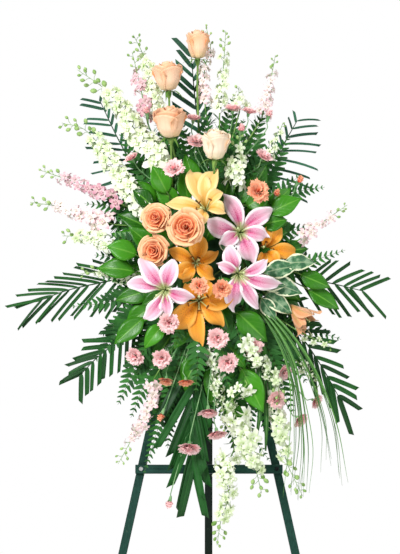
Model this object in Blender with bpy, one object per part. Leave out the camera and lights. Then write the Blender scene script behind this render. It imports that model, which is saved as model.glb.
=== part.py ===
"""A standing funeral spray: cut flowers and greenery in a foam holder, hung on a folding wooden easel.

Run it with blender --background --python part.py, or from the text editor. Units are metres and +Z is up.
The easel is built in the plane of its leaning front frame. Every flower and leaf is placed from the middle of
the foam block, in centimetres: to the right, up, and out towards the person who looks at it.
"""

import math
import random

import bmesh
import bpy
from mathutils import Matrix, Vector
from mathutils.bvhtree import BVHTree

# Easel
LEAN = math.radians(11.0)
OPEN_ANGLE = math.radians(25.0)
LATH = 0.0185
LATH_CHAMFER = 0.0012
FOOT_X = 0.321
LEG_SPLAY = 0.217
CROSSBAR_HEIGHT = 0.757
CROSSBAR_SIZE = (0.340, 0.009, 0.0205)
SCREW_X = 0.157
SCREW_RADIUS = 0.0020
SCREW_HEAD = 0.0050
HEAD_BLOCK_SIZE = (0.060, 0.016, 0.082)
HINGE_RADIUS = 0.0040
HINGE_PIN = 0.0015
HINGE_LEAF = (0.018, 0.0020, 0.045)
HINGE_BELOW_TOP = 0.022
REAR_LEG_ABOVE_HINGE = 0.0178

# Foam block and its cage
FOAM_SIZE = (0.110, 0.090, 0.240)
FOAM_HEIGHT = 1.235
CAGE_WALL = 0.0025
CAGE_RIM = 0.020
CAGE_BAR = 0.0040
HOOK_WIRE = 0.0012
TAB_SIZE = (0.026, 0.003, 0.020)

# Stems
GAP = 0.0003
STEM_DEPTH = 0.020
STEM_CLEARANCE = 0.0010
HOLE_WIDER = 1.32
TRIES = 200
AIM_SPREAD = (0.045, 0.10)
AIM_LIMIT = 0.07
AIM_SHARE = 0.45
FORK_DEPTH = 0.010
TWIG_TAPER = 0.006
TWIG_STEP = 0.12
FROND_THICK = 0.0024
PINNA_LEAST = 0.004

GREEN = (0.045, 0.175, 0.060)
PALM_GREEN = (0.030, 0.130, 0.055)
LIGHT_GREEN = (0.260, 0.480, 0.140)
PEACH = (0.900, 0.550, 0.320)
CREAM = (0.910, 0.720, 0.520)
APRICOT = (0.900, 0.440, 0.200)
YELLOW = (0.900, 0.630, 0.220)
ORANGE = (0.860, 0.330, 0.040)
BROWN_PEACH = (0.700, 0.330, 0.150)
LILY_PINK = (0.800, 0.330, 0.520)
PINK = (0.900, 0.400, 0.440)
CORAL = (0.870, 0.240, 0.130)
WHITE = (0.870, 0.880, 0.760)
MAUVE = (0.700, 0.330, 0.460)
EASEL_GREEN = (0.018, 0.065, 0.045)

for old in list(bpy.data.objects):
    bpy.data.objects.remove(old, do_unlink=True)

PARTS = bpy.data.collections.new("standing_funeral_spray")
CUTTERS = bpy.data.collections.new("cutters")
bpy.context.scene.collection.children.link(PARTS)
bpy.context.scene.collection.children.link(CUTTERS)
CUTTERS.hide_render = True
CHANCE = random.Random(29)


# Small helpers

def material(name, colour, roughness, metallic=0.0):
    made = bpy.data.materials.new(name)
    made.use_nodes = True
    shader = made.node_tree.nodes["Principled BSDF"]
    shader.inputs["Base Color"].default_value = (*colour, 1.0)
    shader.inputs["Roughness"].default_value = roughness
    shader.inputs["Metallic"].default_value = metallic
    made.diffuse_color = (*colour, 1.0)
    return made


def empty(name, location, rotation=(0.0, 0.0, 0.0), parent=None):
    made = bpy.data.objects.new(name, None)
    made.empty_display_size = 0.05
    made.location = location
    made.rotation_euler = rotation
    made.parent = parent
    PARTS.objects.link(made)
    return made


def node(name, bm, parent, colour, roughness, metallic=0.0):
    """The finished piece as an object of its own, under its parent empty."""
    mesh = bpy.data.meshes.new(name)
    bm.to_mesh(mesh)
    bm.free()
    mesh.materials.append(material(name + "_finish", colour, roughness, metallic))
    made = bpy.data.objects.new(name, mesh)
    made.parent = parent
    PARTS.objects.link(made)
    return made


def box(low, high, chamfer=0.0):
    low = Vector(low)
    high = Vector(high)
    bm = bmesh.new()
    bmesh.ops.create_cube(bm, size=1.0)
    bmesh.ops.scale(bm, vec=high - low, verts=bm.verts)
    bmesh.ops.translate(bm, vec=(low + high) / 2, verts=bm.verts)
    if chamfer:
        bmesh.ops.bevel(bm, geom=bm.edges[:], offset=chamfer, segments=1, affect="EDGES")
    return bm


def rod(start, end, radius, sides=8):
    """A straight cylinder between two points."""
    start = Vector(start)
    along = Vector(end) - start
    bm = bmesh.new()
    bmesh.ops.create_cone(bm, cap_ends=True, segments=sides, radius1=radius, radius2=radius,
                          depth=along.length)
    turn = along.to_track_quat("Z", "Y").to_matrix().to_4x4()
    bmesh.ops.transform(bm, matrix=Matrix.Translation(start + along / 2) @ turn, verts=bm.verts)
    return bm


def outward(bm):
    """Turns every face of a closed body to the outside."""
    bmesh.ops.recalc_face_normals(bm, faces=bm.faces[:])
    if bm.calc_volume(signed=True) < 0.0:
        bmesh.ops.reverse_faces(bm, faces=bm.faces[:])


def copy(bm, matrix=None):
    made = bm.copy()
    if matrix is not None:
        bmesh.ops.transform(made, matrix=matrix, verts=made.verts)
    return made


def helper(name, bm, collection):
    bmesh.ops.triangulate(bm, faces=bm.faces[:], quad_method="SHORT_EDGE")
    mesh = bpy.data.meshes.new(name)
    bm.to_mesh(mesh)
    bm.free()
    made = bpy.data.objects.new(name, mesh)
    made.hide_render = True
    made.display_type = "WIRE"
    collection.objects.link(made)
    return made


def boolean(base, others, operation, solver="EXACT"):
    """One Boolean of a body with a collection of others, applied, with the others then removed."""
    tools = bpy.data.collections.new("boolean_tools")
    CUTTERS.children.link(tools)
    target = helper("boolean_base", base, CUTTERS)
    for other in others:
        helper("boolean_tool", other, tools)
    modifier = target.modifiers.new("join", "BOOLEAN")
    modifier.operation = operation
    modifier.solver = solver
    modifier.operand_type = "COLLECTION"
    modifier.collection = tools
    bpy.context.view_layer.update()
    graph = bpy.context.evaluated_depsgraph_get()
    mesh = bpy.data.meshes.new_from_object(target.evaluated_get(graph))
    for used in [*tools.objects, target]:
        bpy.data.objects.remove(used, do_unlink=True)
    bpy.data.collections.remove(tools)
    bm = bmesh.new()
    bm.from_mesh(mesh)
    bpy.data.meshes.remove(mesh)
    bmesh.ops.triangulate(bm, faces=bm.faces[:])
    return bm


def keep_biggest_body(bm):
    """The mesh without the loose scraps that a union can leave."""
    unseen = set(bm.verts)
    bodies = []
    while unseen:
        body = {unseen.pop()}
        edge = list(body)
        while edge:
            for link in edge.pop().link_edges:
                for vert in link.verts:
                    if vert in unseen:
                        unseen.discard(vert)
                        body.add(vert)
                        edge.append(vert)
        bodies.append(body)
    bodies.sort(key=len)
    scraps = [vert for body in bodies[:-1] for vert in body]
    bmesh.ops.delete(bm, geom=scraps, context="VERTS")


# The space that is already taken

class Space:
    """The solids placed so far, so that a new one is kept clear of them."""

    def __init__(self):
        self.items = []

    def add(self, owner, bm, kind="solid"):
        points = [vert.co.copy() for vert in bm.verts]
        low = Vector([min(point[axis] for point in points) for axis in range(3)])
        high = Vector([max(point[axis] for point in points) for axis in range(3)])
        self.items.append((owner, low, high, BVHTree.FromBMesh(bm), kind))

    def forget(self, owner):
        """Gives up the room kept for a plant, once the plant itself stands there."""
        self.items = [item for item in self.items if item[0] != owner or item[4] != "heart"]

    def is_clear(self, owner, bm, gap=GAP, past=()):
        """Whether a body, swollen by the gap, meets nothing of another owner, but for the kinds in past."""
        bm.normal_update()
        points = [vert.co + vert.normal * gap for vert in bm.verts]
        faces = [[vert.index for vert in face.verts] for face in bm.faces]
        xs = [point.x for point in points]
        ys = [point.y for point in points]
        zs = [point.z for point in points]
        tree = None
        for other, low, high, other_tree, kind in self.items:
            if other == owner or kind in past:
                continue
            if min(xs) > high.x or max(xs) < low.x or min(ys) > high.y or max(ys) < low.y:
                continue
            if min(zs) > high.z or max(zs) < low.z:
                continue
            if tree is None:
                tree = BVHTree.FromPolygons(points, faces)
            if tree.overlap(other_tree):
                return False
            near, normal, _, _ = other_tree.find_nearest(points[0])
            if near is not None and (points[0] - near).dot(normal) < 0.0:
                direct = points[0] - near
                if direct.length < 0.06 and inside(points[0], other_tree):
                    return False
        return True


def inside(point, tree):
    """Whether a point lies in a closed body, by counting the walls on a straight way out."""
    way = Vector((0.31, 0.17, 0.935)).normalized()
    start = point.copy()
    walls = 0
    while walls < 12:
        hit, _, _, _ = tree.ray_cast(start, way)
        if hit is None:
            break
        walls += 1
        start = hit + way * 1e-6
    return walls % 2 == 1


SPACE = Space()


# Easel, in the plane of its front frame

HALF = LATH / 2
LEG_ANGLE = math.atan(LEG_SPLAY)
LEG_TOP = (FOOT_X - HALF / math.cos(LEG_ANGLE) - GAP / 2) / LEG_SPLAY
FLOOR_NORMAL = Vector((0.0, -math.sin(LEAN), math.cos(LEAN)))
FOAM_W = -(HALF + GAP + CAGE_WALL + GAP + FOAM_SIZE[1] / 2)
FOAM_V = (FOAM_HEIGHT + FOAM_W * math.sin(LEAN)) / math.cos(LEAN)
FRAME_TURN = Matrix.Rotation(-LEAN, 4, "X")
FOAM_CENTRE = FRAME_TURN @ Vector((0.0, FOAM_W, FOAM_V))
TO_FOAM = Matrix.Translation(-FOAM_CENTRE) @ FRAME_TURN
HINGE_V = LEG_TOP - HINGE_BELOW_TOP
HINGE_W = HALF + GAP + HEAD_BLOCK_SIZE[1] + GAP + HINGE_RADIUS
HINGE_POINT = FRAME_TURN @ Vector((0.0, HINGE_W, HINGE_V))


def cut_below(bm, point, normal):
    """Cuts a body with a plane and closes it, keeping the side that the normal points to."""
    geometry = bm.verts[:] + bm.edges[:] + bm.faces[:]
    cut = bmesh.ops.bisect_plane(bm, geom=geometry, plane_co=point, plane_no=normal, clear_inner=True)
    rim = [item for item in cut["geom_cut"] if isinstance(item, bmesh.types.BMEdge)]
    bmesh.ops.edgeloop_fill(bm, edges=rim)
    outward(bm)


def screw_hole(side, first, last):
    x = side * SCREW_X
    return rod((x, first, CROSSBAR_HEIGHT), (x, last, CROSSBAR_HEIGHT), SCREW_RADIUS + GAP)


def front_leg(side):
    reach = 1.03 * LEG_TOP
    bm = box((-HALF, -HALF, -0.05), (HALF, HALF, reach), LATH_CHAMFER)
    turn = Matrix.Rotation(-side * LEG_ANGLE, 4, "Y")
    bmesh.ops.transform(bm, matrix=Matrix.Translation((side * FOOT_X, 0.0, 0.0)) @ turn, verts=bm.verts)
    cut_below(bm, (0.0, 0.0, 0.0), FLOOR_NORMAL)
    cut_below(bm, (0.0, 0.0, LEG_TOP), (0.0, 0.0, -1.0))
    return boolean(bm, [screw_hole(side, -0.02, 0.0035)], "DIFFERENCE")


def crossbar():
    width, depth, height = CROSSBAR_SIZE
    front = -HALF - GAP - depth
    low = (-width / 2, front, CROSSBAR_HEIGHT - height / 2)
    high = (width / 2, front + depth, CROSSBAR_HEIGHT + height / 2)
    holes = [screw_hole(side, -0.04, 0.0) for side in (-1, 1)]
    return boolean(box(low, high, LATH_CHAMFER), holes, "DIFFERENCE")


def screw(side):
    """A pan head on the crossbar and a shank that ends in the leg."""
    x = side * SCREW_X
    front = -HALF - GAP - CROSSBAR_SIZE[1]
    head = rod((x, front - 0.003, CROSSBAR_HEIGHT), (x, front - GAP, CROSSBAR_HEIGHT), SCREW_HEAD)
    shank = rod((x, front - 0.002, CROSSBAR_HEIGHT), (x, 0.003, CROSSBAR_HEIGHT), SCREW_RADIUS)
    return boolean(head, [shank], "UNION")


def head_block():
    width, depth, height = HEAD_BLOCK_SIZE
    low = (-width / 2, HALF + GAP, LEG_TOP - height)
    return box(low, (width / 2, HALF + GAP + depth, LEG_TOP), LATH_CHAMFER)


def hinge_fixed():
    """The leaf on the head block, its middle knuckle and the pin, measured from the pin's axis."""
    width, thick, length = HINGE_LEAF
    leaf = box((-width / 2, -HINGE_RADIUS, -length), (width / 2, -HINGE_RADIUS + thick, -0.0052))
    neck = box((-0.0040, -HINGE_RADIUS, -0.0070), (0.0040, -HINGE_RADIUS + thick, 0.0))
    knuckle = rod((-0.0040, 0.0, 0.0), (0.0040, 0.0, 0.0), HINGE_RADIUS - GAP, 8)
    pin = rod((-width / 2 - 0.0005, 0.0, 0.0), (width / 2 + 0.0005, 0.0, 0.0), HINGE_PIN, 6)
    return boolean(leaf, [neck, knuckle, pin], "UNION", "MANIFOLD")


def hinge_moving():
    """The leaf on the rear leg with its two outer knuckles, from the pin's axis with the leg folded."""
    width, thick, length = HINGE_LEAF
    inner = 0.0040 + GAP
    pieces = []
    for side in (-1, 1):
        ends = sorted((side * inner, side * width / 2))
        pieces.append(rod((ends[0], 0.0, 0.0), (ends[1], 0.0, 0.0), HINGE_RADIUS - GAP, 8))
        pieces.append(box((ends[0], HINGE_RADIUS - thick, -0.0070), (ends[1], HINGE_RADIUS, 0.0)))
    leaf = box((-width / 2, HINGE_RADIUS - thick, -length), (width / 2, HINGE_RADIUS, -0.0052))
    solid = boolean(leaf, pieces, "UNION", "MANIFOLD")
    hole = rod((-width, 0.0, 0.0), (width, 0.0, 0.0), HINGE_PIN + 1.5 * GAP, 6)
    return boolean(solid, [hole], "DIFFERENCE", "MANIFOLD")


def rear_leg():
    """The rear lath, from the hinge pin with the leg folded, its foot cut level for the open easel."""
    low = (-HALF, HINGE_RADIUS + GAP, -2.0)
    bm = box(low, (HALF, HINGE_RADIUS + GAP + LATH, REAR_LEG_ABOVE_HINGE), LATH_CHAMFER)
    up = Matrix.Rotation(LEAN - OPEN_ANGLE, 3, "X") @ Vector((0.0, 0.0, 1.0))
    cut_below(bm, up * -HINGE_POINT.z, up)
    return bm


def cage():
    """A tray behind the foam with a shallow rim, two hoops over it and a tab for the hook."""
    half_x = FOAM_SIZE[0] / 2 + GAP
    half_y = FOAM_SIZE[1] / 2 + GAP
    half_z = FOAM_SIZE[2] / 2 + GAP
    outer = (half_x + CAGE_WALL, half_y + CAGE_WALL, half_z + CAGE_WALL)
    rim = half_y - CAGE_RIM
    tray = box((-outer[0], rim, -outer[2]), (outer[0], outer[1], outer[2]))
    hollow = box((-half_x, rim - 0.01, -half_z), (half_x, half_y, half_z))
    tray = boolean(tray, [hollow], "DIFFERENCE")
    near = -half_y - CAGE_BAR
    bars = []
    for height in (-0.050, 0.050):
        level = (height - CAGE_BAR / 2, height + CAGE_BAR / 2)
        for side in (-1, 1):
            ends = sorted((side * half_x, side * (half_x + CAGE_BAR)))
            bars.append(box((ends[0], near, level[0]), (ends[1], rim + 0.004, level[1])))
        bars.append(box((-half_x - CAGE_BAR, near, level[0]), (half_x + CAGE_BAR, near + CAGE_BAR, level[1])))
    bars.append(box((-TAB_SIZE[0] / 2, rim, half_z + 0.001), (TAB_SIZE[0] / 2, rim + TAB_SIZE[1],
                                                            half_z + CAGE_WALL + TAB_SIZE[2])))
    joined = boolean(tray, bars, "UNION")
    hole_z = half_z + CAGE_WALL + 0.011
    hole = rod((0.0, rim - 0.01, hole_z), (0.0, rim + 0.02, hole_z), HOOK_WIRE + 0.0015, 8)
    bm = boolean(joined, [hole], "DIFFERENCE")
    bmesh.ops.translate(bm, vec=(0.0, FOAM_W, FOAM_V), verts=bm.verts)
    return bm, Vector((0.0, FOAM_W + rim, FOAM_V + hole_z))


def tube(points, radii, sides=4):
    """A stem along a row of points: a curve with a bevel and filled caps, made a mesh."""
    curve = bpy.data.curves.new("tube", "CURVE")
    curve.dimensions = "3D"
    curve.bevel_depth = 1.0
    curve.bevel_resolution = (sides - 4) // 2
    curve.use_fill_caps = True
    spline = curve.splines.new("POLY")
    spline.points.add(len(points) - 1)
    for target, point, radius in zip(spline.points, points, radii):
        target.co = (*point, 1.0)
        target.radius = radius
    holder = bpy.data.objects.new("tube", curve)
    mesh = bpy.data.meshes.new_from_object(holder)
    bm = bmesh.new()
    bm.from_mesh(mesh)
    bpy.data.objects.remove(holder)
    bpy.data.curves.remove(curve)
    bpy.data.meshes.remove(mesh)
    bmesh.ops.remove_doubles(bm, verts=bm.verts, dist=1e-6)
    outward(bm)
    return bm


def hook(hole):
    """A bent wire that passes through the tab and hangs over the top of the legs and the head block."""
    behind = HALF + GAP + HEAD_BLOCK_SIZE[1] + HOOK_WIRE + 4 * GAP
    over = LEG_TOP + HOOK_WIRE + 2 * GAP
    drop = 0.004
    aside = 0.016
    route = [
        (0.0, hole.y + 0.008, hole.z),
        (0.0, hole.y - 0.004, hole.z),
        (0.002, hole.y - 0.007, hole.z + 0.004),
        (aside, hole.y - 0.004, over - 0.010),
        (aside, -HALF, over),
        (aside, behind - 0.003, over),
        (aside, behind, over - drop),
        (aside, behind, over - 0.020),
    ]
    return tube([Vector(point) for point in route], [HOOK_WIRE] * len(route), 6)


ROOT = empty("spray_root", (0.0, 0.0, 0.0))
FRAME = empty("front_frame", (0.0, 0.0, 0.0), (-LEAN, 0.0, 0.0), ROOT)
HINGE = empty("rear_hinge", HINGE_POINT, (OPEN_ANGLE - LEAN, 0.0, 0.0), ROOT)
FOAM = empty("foam_middle", FOAM_CENTRE, (0.0, 0.0, 0.0), ROOT)


def easel():
    cage_bm, hole = cage()
    hinge_bm = hinge_fixed()
    bmesh.ops.translate(hinge_bm, vec=(0.0, HINGE_W, HINGE_V), verts=hinge_bm.verts)
    fixed = (
        ("easel_left_leg", front_leg(-1), EASEL_GREEN, 0.45, 0.0),
        ("easel_right_leg", front_leg(1), EASEL_GREEN, 0.45, 0.0),
        ("easel_crossbar", crossbar(), EASEL_GREEN, 0.45, 0.0),
        ("crossbar_screw_left", screw(-1), (0.55, 0.55, 0.55), 0.35, 1.0),
        ("crossbar_screw_right", screw(1), (0.10, 0.10, 0.10), 0.45, 1.0),
        ("easel_head_block", head_block(), EASEL_GREEN, 0.45, 0.0),
        ("hinge_fixed_leaf", hinge_bm, (0.45, 0.45, 0.45), 0.40, 1.0),
        ("foam_cage", cage_bm, (0.02, 0.12, 0.05), 0.50, 0.0),
        ("hanging_hook", hook(hole), (0.35, 0.36, 0.35), 0.40, 1.0),
    )
    for name, bm, colour, roughness, metallic in fixed:
        SPACE.add(name, copy(bm, TO_FOAM))
        node(name, bm, FRAME, colour, roughness, metallic)
    moving = (
        ("hinge_moving_leaf", hinge_moving(), (0.45, 0.45, 0.45), 0.40, 1.0),
        ("easel_rear_leg", rear_leg(), (0.010, 0.025, 0.020), 0.50, 0.0),
    )
    folded = TO_FOAM @ Matrix.Translation((0.0, HINGE_W, HINGE_V))
    for name, bm, colour, roughness, metallic in moving:
        SPACE.add(name, copy(bm, folded))
        node(name, bm, HINGE, colour, roughness, metallic)


easel()
FOAM_TURN = Matrix.Rotation(-LEAN, 4, "X")
FOAM_BM = box([-side / 2 for side in FOAM_SIZE], [side / 2 for side in FOAM_SIZE])
bmesh.ops.transform(FOAM_BM, matrix=FOAM_TURN, verts=FOAM_BM.verts)
bmesh.ops.triangulate(FOAM_BM, faces=FOAM_BM.faces[:])
SPACE.add("floral_foam", FOAM_BM, "foam")
FOAM_TREE = BVHTree.FromBMesh(FOAM_BM)


# Blades, stars and stems

def at(right, up, out):
    """A point in centimetres from the middle of the foam: right, up, and out towards the viewer."""
    return Vector((right, -out, up)) * 0.01


def ball(sides, rings):
    bm = bmesh.new()
    bmesh.ops.create_uvsphere(bm, u_segments=sides, v_segments=rings + 1, radius=1.0)
    return bm


def ring_and_angle(vert, rings):
    ring = round(math.acos(max(-1.0, min(1.0, vert.co.z))) / math.pi * (rings + 1))
    return ring, math.atan2(vert.co.y, vert.co.x)


def blade(root, out, up, stations, thick, cup=0.0, sides=4):
    """A petal or leaf: a ball of few sides stretched along stations, each (reach, lift, half width).

    The first and the last station are its ends. The cup lifts the edges by a share of the half width.
    """
    side = out.cross(up).normalized()
    up = side.cross(out).normalized()
    rings = len(stations) - 2
    bm = ball(sides, rings)
    shift = math.pi / 2 if sides % 2 else 0.0
    for vert in bm.verts:
        ring, angle = ring_and_angle(vert, rings)
        reach, lift, half = stations[ring]
        before = stations[max(0, ring - 1)]
        after = stations[min(rings + 1, ring + 1)]
        slope = out * (after[0] - before[0]) + up * (after[1] - before[1])
        normal = side.cross(slope).normalized()
        across = math.cos(angle + shift) if 0 < ring <= rings else 0.0
        above = math.sin(angle + shift) if 0 < ring <= rings else 0.0
        height = thick / 2 * above + cup * half * across * across
        vert.co = root + out * reach + up * lift + side * (half * across) + normal * height
    outward(bm)
    bmesh.ops.triangulate(bm, faces=bm.faces[:], quad_method="SHORT_EDGE")
    return bm


def bead(start, end, radius, sides=5, rings=1):
    """A pointed round body, such as a calyx, a bud or the heart of a rose."""
    start = Vector(start)
    along = Vector(end) - start
    turn = along.to_track_quat("Z", "Y").to_matrix()
    bm = ball(sides, rings)
    for vert in bm.verts:
        ring, angle = ring_and_angle(vert, rings)
        share = 1.0 - ring / (rings + 1)
        wide = radius * math.sin(math.pi * ring / (rings + 1)) ** 0.6 if 0 < ring <= rings else 0.0
        vert.co = start + along * share + turn @ Vector((math.cos(angle), math.sin(angle), 0.0)) * wide
    outward(bm)
    bmesh.ops.triangulate(bm, faces=bm.faces[:], quad_method="SHORT_EDGE")
    return bm


def column(row, rings, sides):
    """One body along a row with star-shaped sections: each ring (share, radius, waist, lift, turn)."""
    bm = ball(sides, len(rings) - 2)
    upright = Vector((0.0, 1.0, 0.0))
    if abs((row[-1] - row[0]).normalized().y) > 0.8:
        upright = Vector((0.0, 0.0, 1.0))
    for vert in bm.verts:
        ring, angle = ring_and_angle(vert, len(rings) - 2)
        share, radius, waist, lift, turn = rings[ring]
        spot, way = along_row(row, share)
        across = way.cross(upright).normalized()
        other = way.cross(across).normalized()
        peak = sides % 2 == 1 or round(angle / math.pi * sides / 2) % 2 == 0
        out = 0.0 if ring in (0, len(rings) - 1) else radius * (1.0 if peak else waist)
        rise = lift if peak else -lift
        vert.co = spot + (across * math.cos(angle + turn) + other * math.sin(angle + turn)) * out + way * rise
    outward(bm)
    bmesh.ops.triangulate(bm, faces=bm.faces[:], quad_method="SHORT_EDGE")
    return bm


def comb(row, rings):
    """A thin frond cut to its rib: each ring (share, left half width, right half width, sweep)."""
    bm = ball(4, len(rings) - 2)
    for vert in bm.verts:
        ring, angle = ring_and_angle(vert, len(rings) - 2)
        share, left, right, sweep = rings[ring]
        spot, way = along_row(row, share)
        side = way.cross(Vector((0.0, -1.0, 0.0))).normalized()
        normal = side.cross(way).normalized()
        across = math.cos(angle)
        above = math.sin(angle)
        if ring in (0, len(rings) - 1):
            across = above = 0.0
        half = right if across > 0.0 else left
        lag = sweep * (half > PINNA_LEAST) * abs(across)
        vert.co = spot + side * (half * across) + normal * (FROND_THICK / 2 * above) + way * lag
    outward(bm)
    bmesh.ops.triangulate(bm, faces=bm.faces[:], quad_method="SHORT_EDGE")
    return bm


def smooth(points, count):
    """A row of points along one smooth curve through the given ones, evenly far apart."""
    ends = [points[0] * 2 - points[1], *points, points[-1] * 2 - points[-2]]
    fine = []
    for i in range(1, len(ends) - 2):
        for j in range(12):
            t = j / 12
            a, b, c, d = ends[i - 1:i + 3]
            fine.append(0.5 * (2 * b + (c - a) * t + (2 * a - 5 * b + 4 * c - d) * t * t
                               + (3 * b - a - 3 * c + d) * t ** 3))
    fine.append(points[-1])
    lengths = [0.0]
    for first, second in zip(fine, fine[1:]):
        lengths.append(lengths[-1] + (second - first).length)
    row = []
    for k in range(count):
        want = lengths[-1] * k / (count - 1)
        place = next(i for i in range(1, len(lengths)) if lengths[i] >= want - 1e-9)
        share = (want - lengths[place - 1]) / max(1e-9, lengths[place] - lengths[place - 1])
        row.append(fine[place - 1].lerp(fine[place], share))
    return row


class Plant:
    """One flower, frond or leafy stem: its solids are kept clear of all others and joined at the end."""

    all = []

    def __init__(self, name, colour, roughness=0.6):
        self.name = name
        self.colour = colour
        self.roughness = roughness
        self.pieces = []
        Plant.all.append(self)

    def add(self, bm):
        SPACE.add(self.name, bm)
        self.pieces.append(bm)

    def offer(self, make, tries=6, gap=GAP):
        """Takes the first of a few ways to make a repeat that is clear of everything else."""
        for turn in range(tries):
            bm = make(turn)
            if SPACE.is_clear(self.name, bm, gap):
                self.add(bm)
                return
            bm.free()

    def fit(self, make):
        """Takes a long body whole, its teeth drawn in until it is clear of everything else."""
        for turn in range(14):
            bm = make(1.0 - 0.065 * turn)
            if SPACE.is_clear(self.name, bm):
                self.add(bm)
                return
            bm.free()

    def finish(self, parent):
        base = max(self.pieces, key=lambda bm: len(bm.verts))
        others = [bm for bm in self.pieces if bm is not base]
        bm = boolean(base, others, "UNION", "MANIFOLD") if others else base
        keep_biggest_body(bm)
        node(self.name, bm, parent, self.colour, self.roughness)


HOLES = []


def entry_to(target, shift):
    """Where a stem that comes from the target goes into the foam, and the way in."""
    core = FOAM_TURN.to_3x3() @ Vector((shift[0], 0.0, shift[1]))
    way = (core - target).normalized()
    hit, _, _, _ = FOAM_TREE.ray_cast(target, way)
    return hit, way


def loose(amount):
    """A random nudge of up to the given length along each axis."""
    return Vector((CHANCE.uniform(-1, 1), CHANCE.uniform(-1, 1), CHANCE.uniform(-1, 1))) * amount


def rooted_stem(plant, route, radius, tip_radius, sides=4, bare=1.0):
    """A stem from a hole in the foam along a route, its way in shifted until it is clear of all else.

    Only the bare share of it becomes a piece. The rest is kept free for the frond that goes on from there.
    """
    for turn in range(TRIES):
        reach = turn / TRIES
        base = route[0] + loose(0.015 * reach * (len(route) > 2))
        aim = max(-AIM_LIMIT, min(AIM_LIMIT, base.z * AIM_SHARE))
        aside = CHANCE.uniform(-1, 1) * AIM_SPREAD[0] * reach
        above = CHANCE.uniform(-1, 1) * AIM_SPREAD[1] * reach
        hit, way = entry_to(base, (aside, aim + above))
        if hit is None:
            continue
        start = hit + way * STEM_DEPTH
        path = [hit]
        if (base - hit).length > 0.03:
            path.append(hit.lerp(base, 0.5) + loose(0.05 * reach))
        path.extend([base, *[point + loose(0.012 * reach) for point in route[1:-1]], *route[1:][-1:]])
        length = sum((b - a).length for a, b in zip(path, path[1:]))
        count = max(2, min(8, 1 + round(length / 0.075)))
        row = [start, *smooth(path, count)]
        radii = [radius] + [radius + (tip_radius - radius) * i / (count - 1) for i in range(count)]
        bm = tube(row, radii, sides)
        if SPACE.is_clear(plant.name, bm, STEM_CLEARANCE, ("foam",)):
            if bare < 1.0:
                SPACE.add(plant.name, bm, "heart")
                bm.free()
                last = max(1, int(bare * (len(row) - 1)))
                end, _ = along_row(row, bare)
                bm = tube([*row[:last + 1], end], [*radii[:last + 1], radii[last]], sides)
            plant.add(bm)
            HOLES.append((hit - way * 0.006, start + way * 0.0006, HOLE_WIDER * (radius + GAP)))
            return row
        bm.free()
    raise ValueError("no clear way for " + plant.name)


def fork_of(row):
    """The point inside a stem, a little before its end, where its branches start."""
    reach = (row[-1] - row[-2]).length
    return row[-1].lerp(row[-2], min(0.6, FORK_DEPTH / reach))


def twig(row, radii, sides=3):
    """A thin branch along a row of points: a ball of few sides drawn out along it."""
    rings = [(i / (len(row) - 1), radii[i], 1.0, 0.0, 0.0) for i in range(1, len(row) - 1)]
    rings = [(0.0, 0.0, 1.0, 0.0, 0.0), *rings, (1.0, 0.0, 1.0, 0.0, 0.0)]
    return column(row, rings, sides)


def branch(plant, start, route, radius, tip_radius):
    """A branch from a point in the plant's own stem along a route, bent until it is clear of all else."""
    for turn in range(2 * TRIES):
        reach = turn / TRIES
        first = route[0] + loose(0.006 * reach)
        middle = [point + loose(0.008 * reach) for point in route[1:-1]]
        path = [start, start.lerp(first, 0.5) + loose(0.055 * reach), first, *middle, route[-1]]
        length = sum((b - a).length for a, b in zip(path, path[1:]))
        row = smooth(path, max(3, min(6, 2 + round(length / TWIG_STEP))))
        head = row[0].lerp(row[1], min(0.4, TWIG_TAPER / (row[1] - row[0]).length))
        tail = row[-1].lerp(row[-2], min(0.4, TWIG_TAPER / (row[-1] - row[-2]).length))
        row = [row[0], head, *row[1:-1], tail, row[-1]]
        radii = [radius + (tip_radius - radius) * i / (len(row) - 1) for i in range(len(row))]
        bm = twig(row, radii)
        if SPACE.is_clear(plant.name, bm, STEM_CLEARANCE):
            plant.add(bm)
            return row
        bm.free()
    raise ValueError("no clear branch on " + plant.name)


def reserve(owner, centre, radius):
    """Keeps the heart of a bloom free of other stems until it is built."""
    bm = bmesh.new()
    bmesh.ops.create_icosphere(bm, subdivisions=2, radius=radius)
    bmesh.ops.translate(bm, vec=centre, verts=bm.verts)
    SPACE.add(owner, bm, "heart")
    bm.free()


def around(axis, angle):
    """The direction at an angle round an axis, from the right-hand side as a viewer sees it."""
    right = Vector((1.0, 0.0, 0.0))
    right = (right - axis * right.dot(axis)).normalized()
    above = right.cross(axis).normalized()
    if above.z < 0.0:
        above = -above
    return right * math.cos(angle) + above * math.sin(angle)


def along_row(row, share):
    """The point and the direction at a share of a row's length."""
    place = share * (len(row) - 1)
    i = min(len(row) - 2, int(place))
    return row[i].lerp(row[i + 1], place - i), (row[i + 1] - row[i]).normalized()


# The blooms' places: right, up, out in centimetres, then the way that each faces

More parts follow.
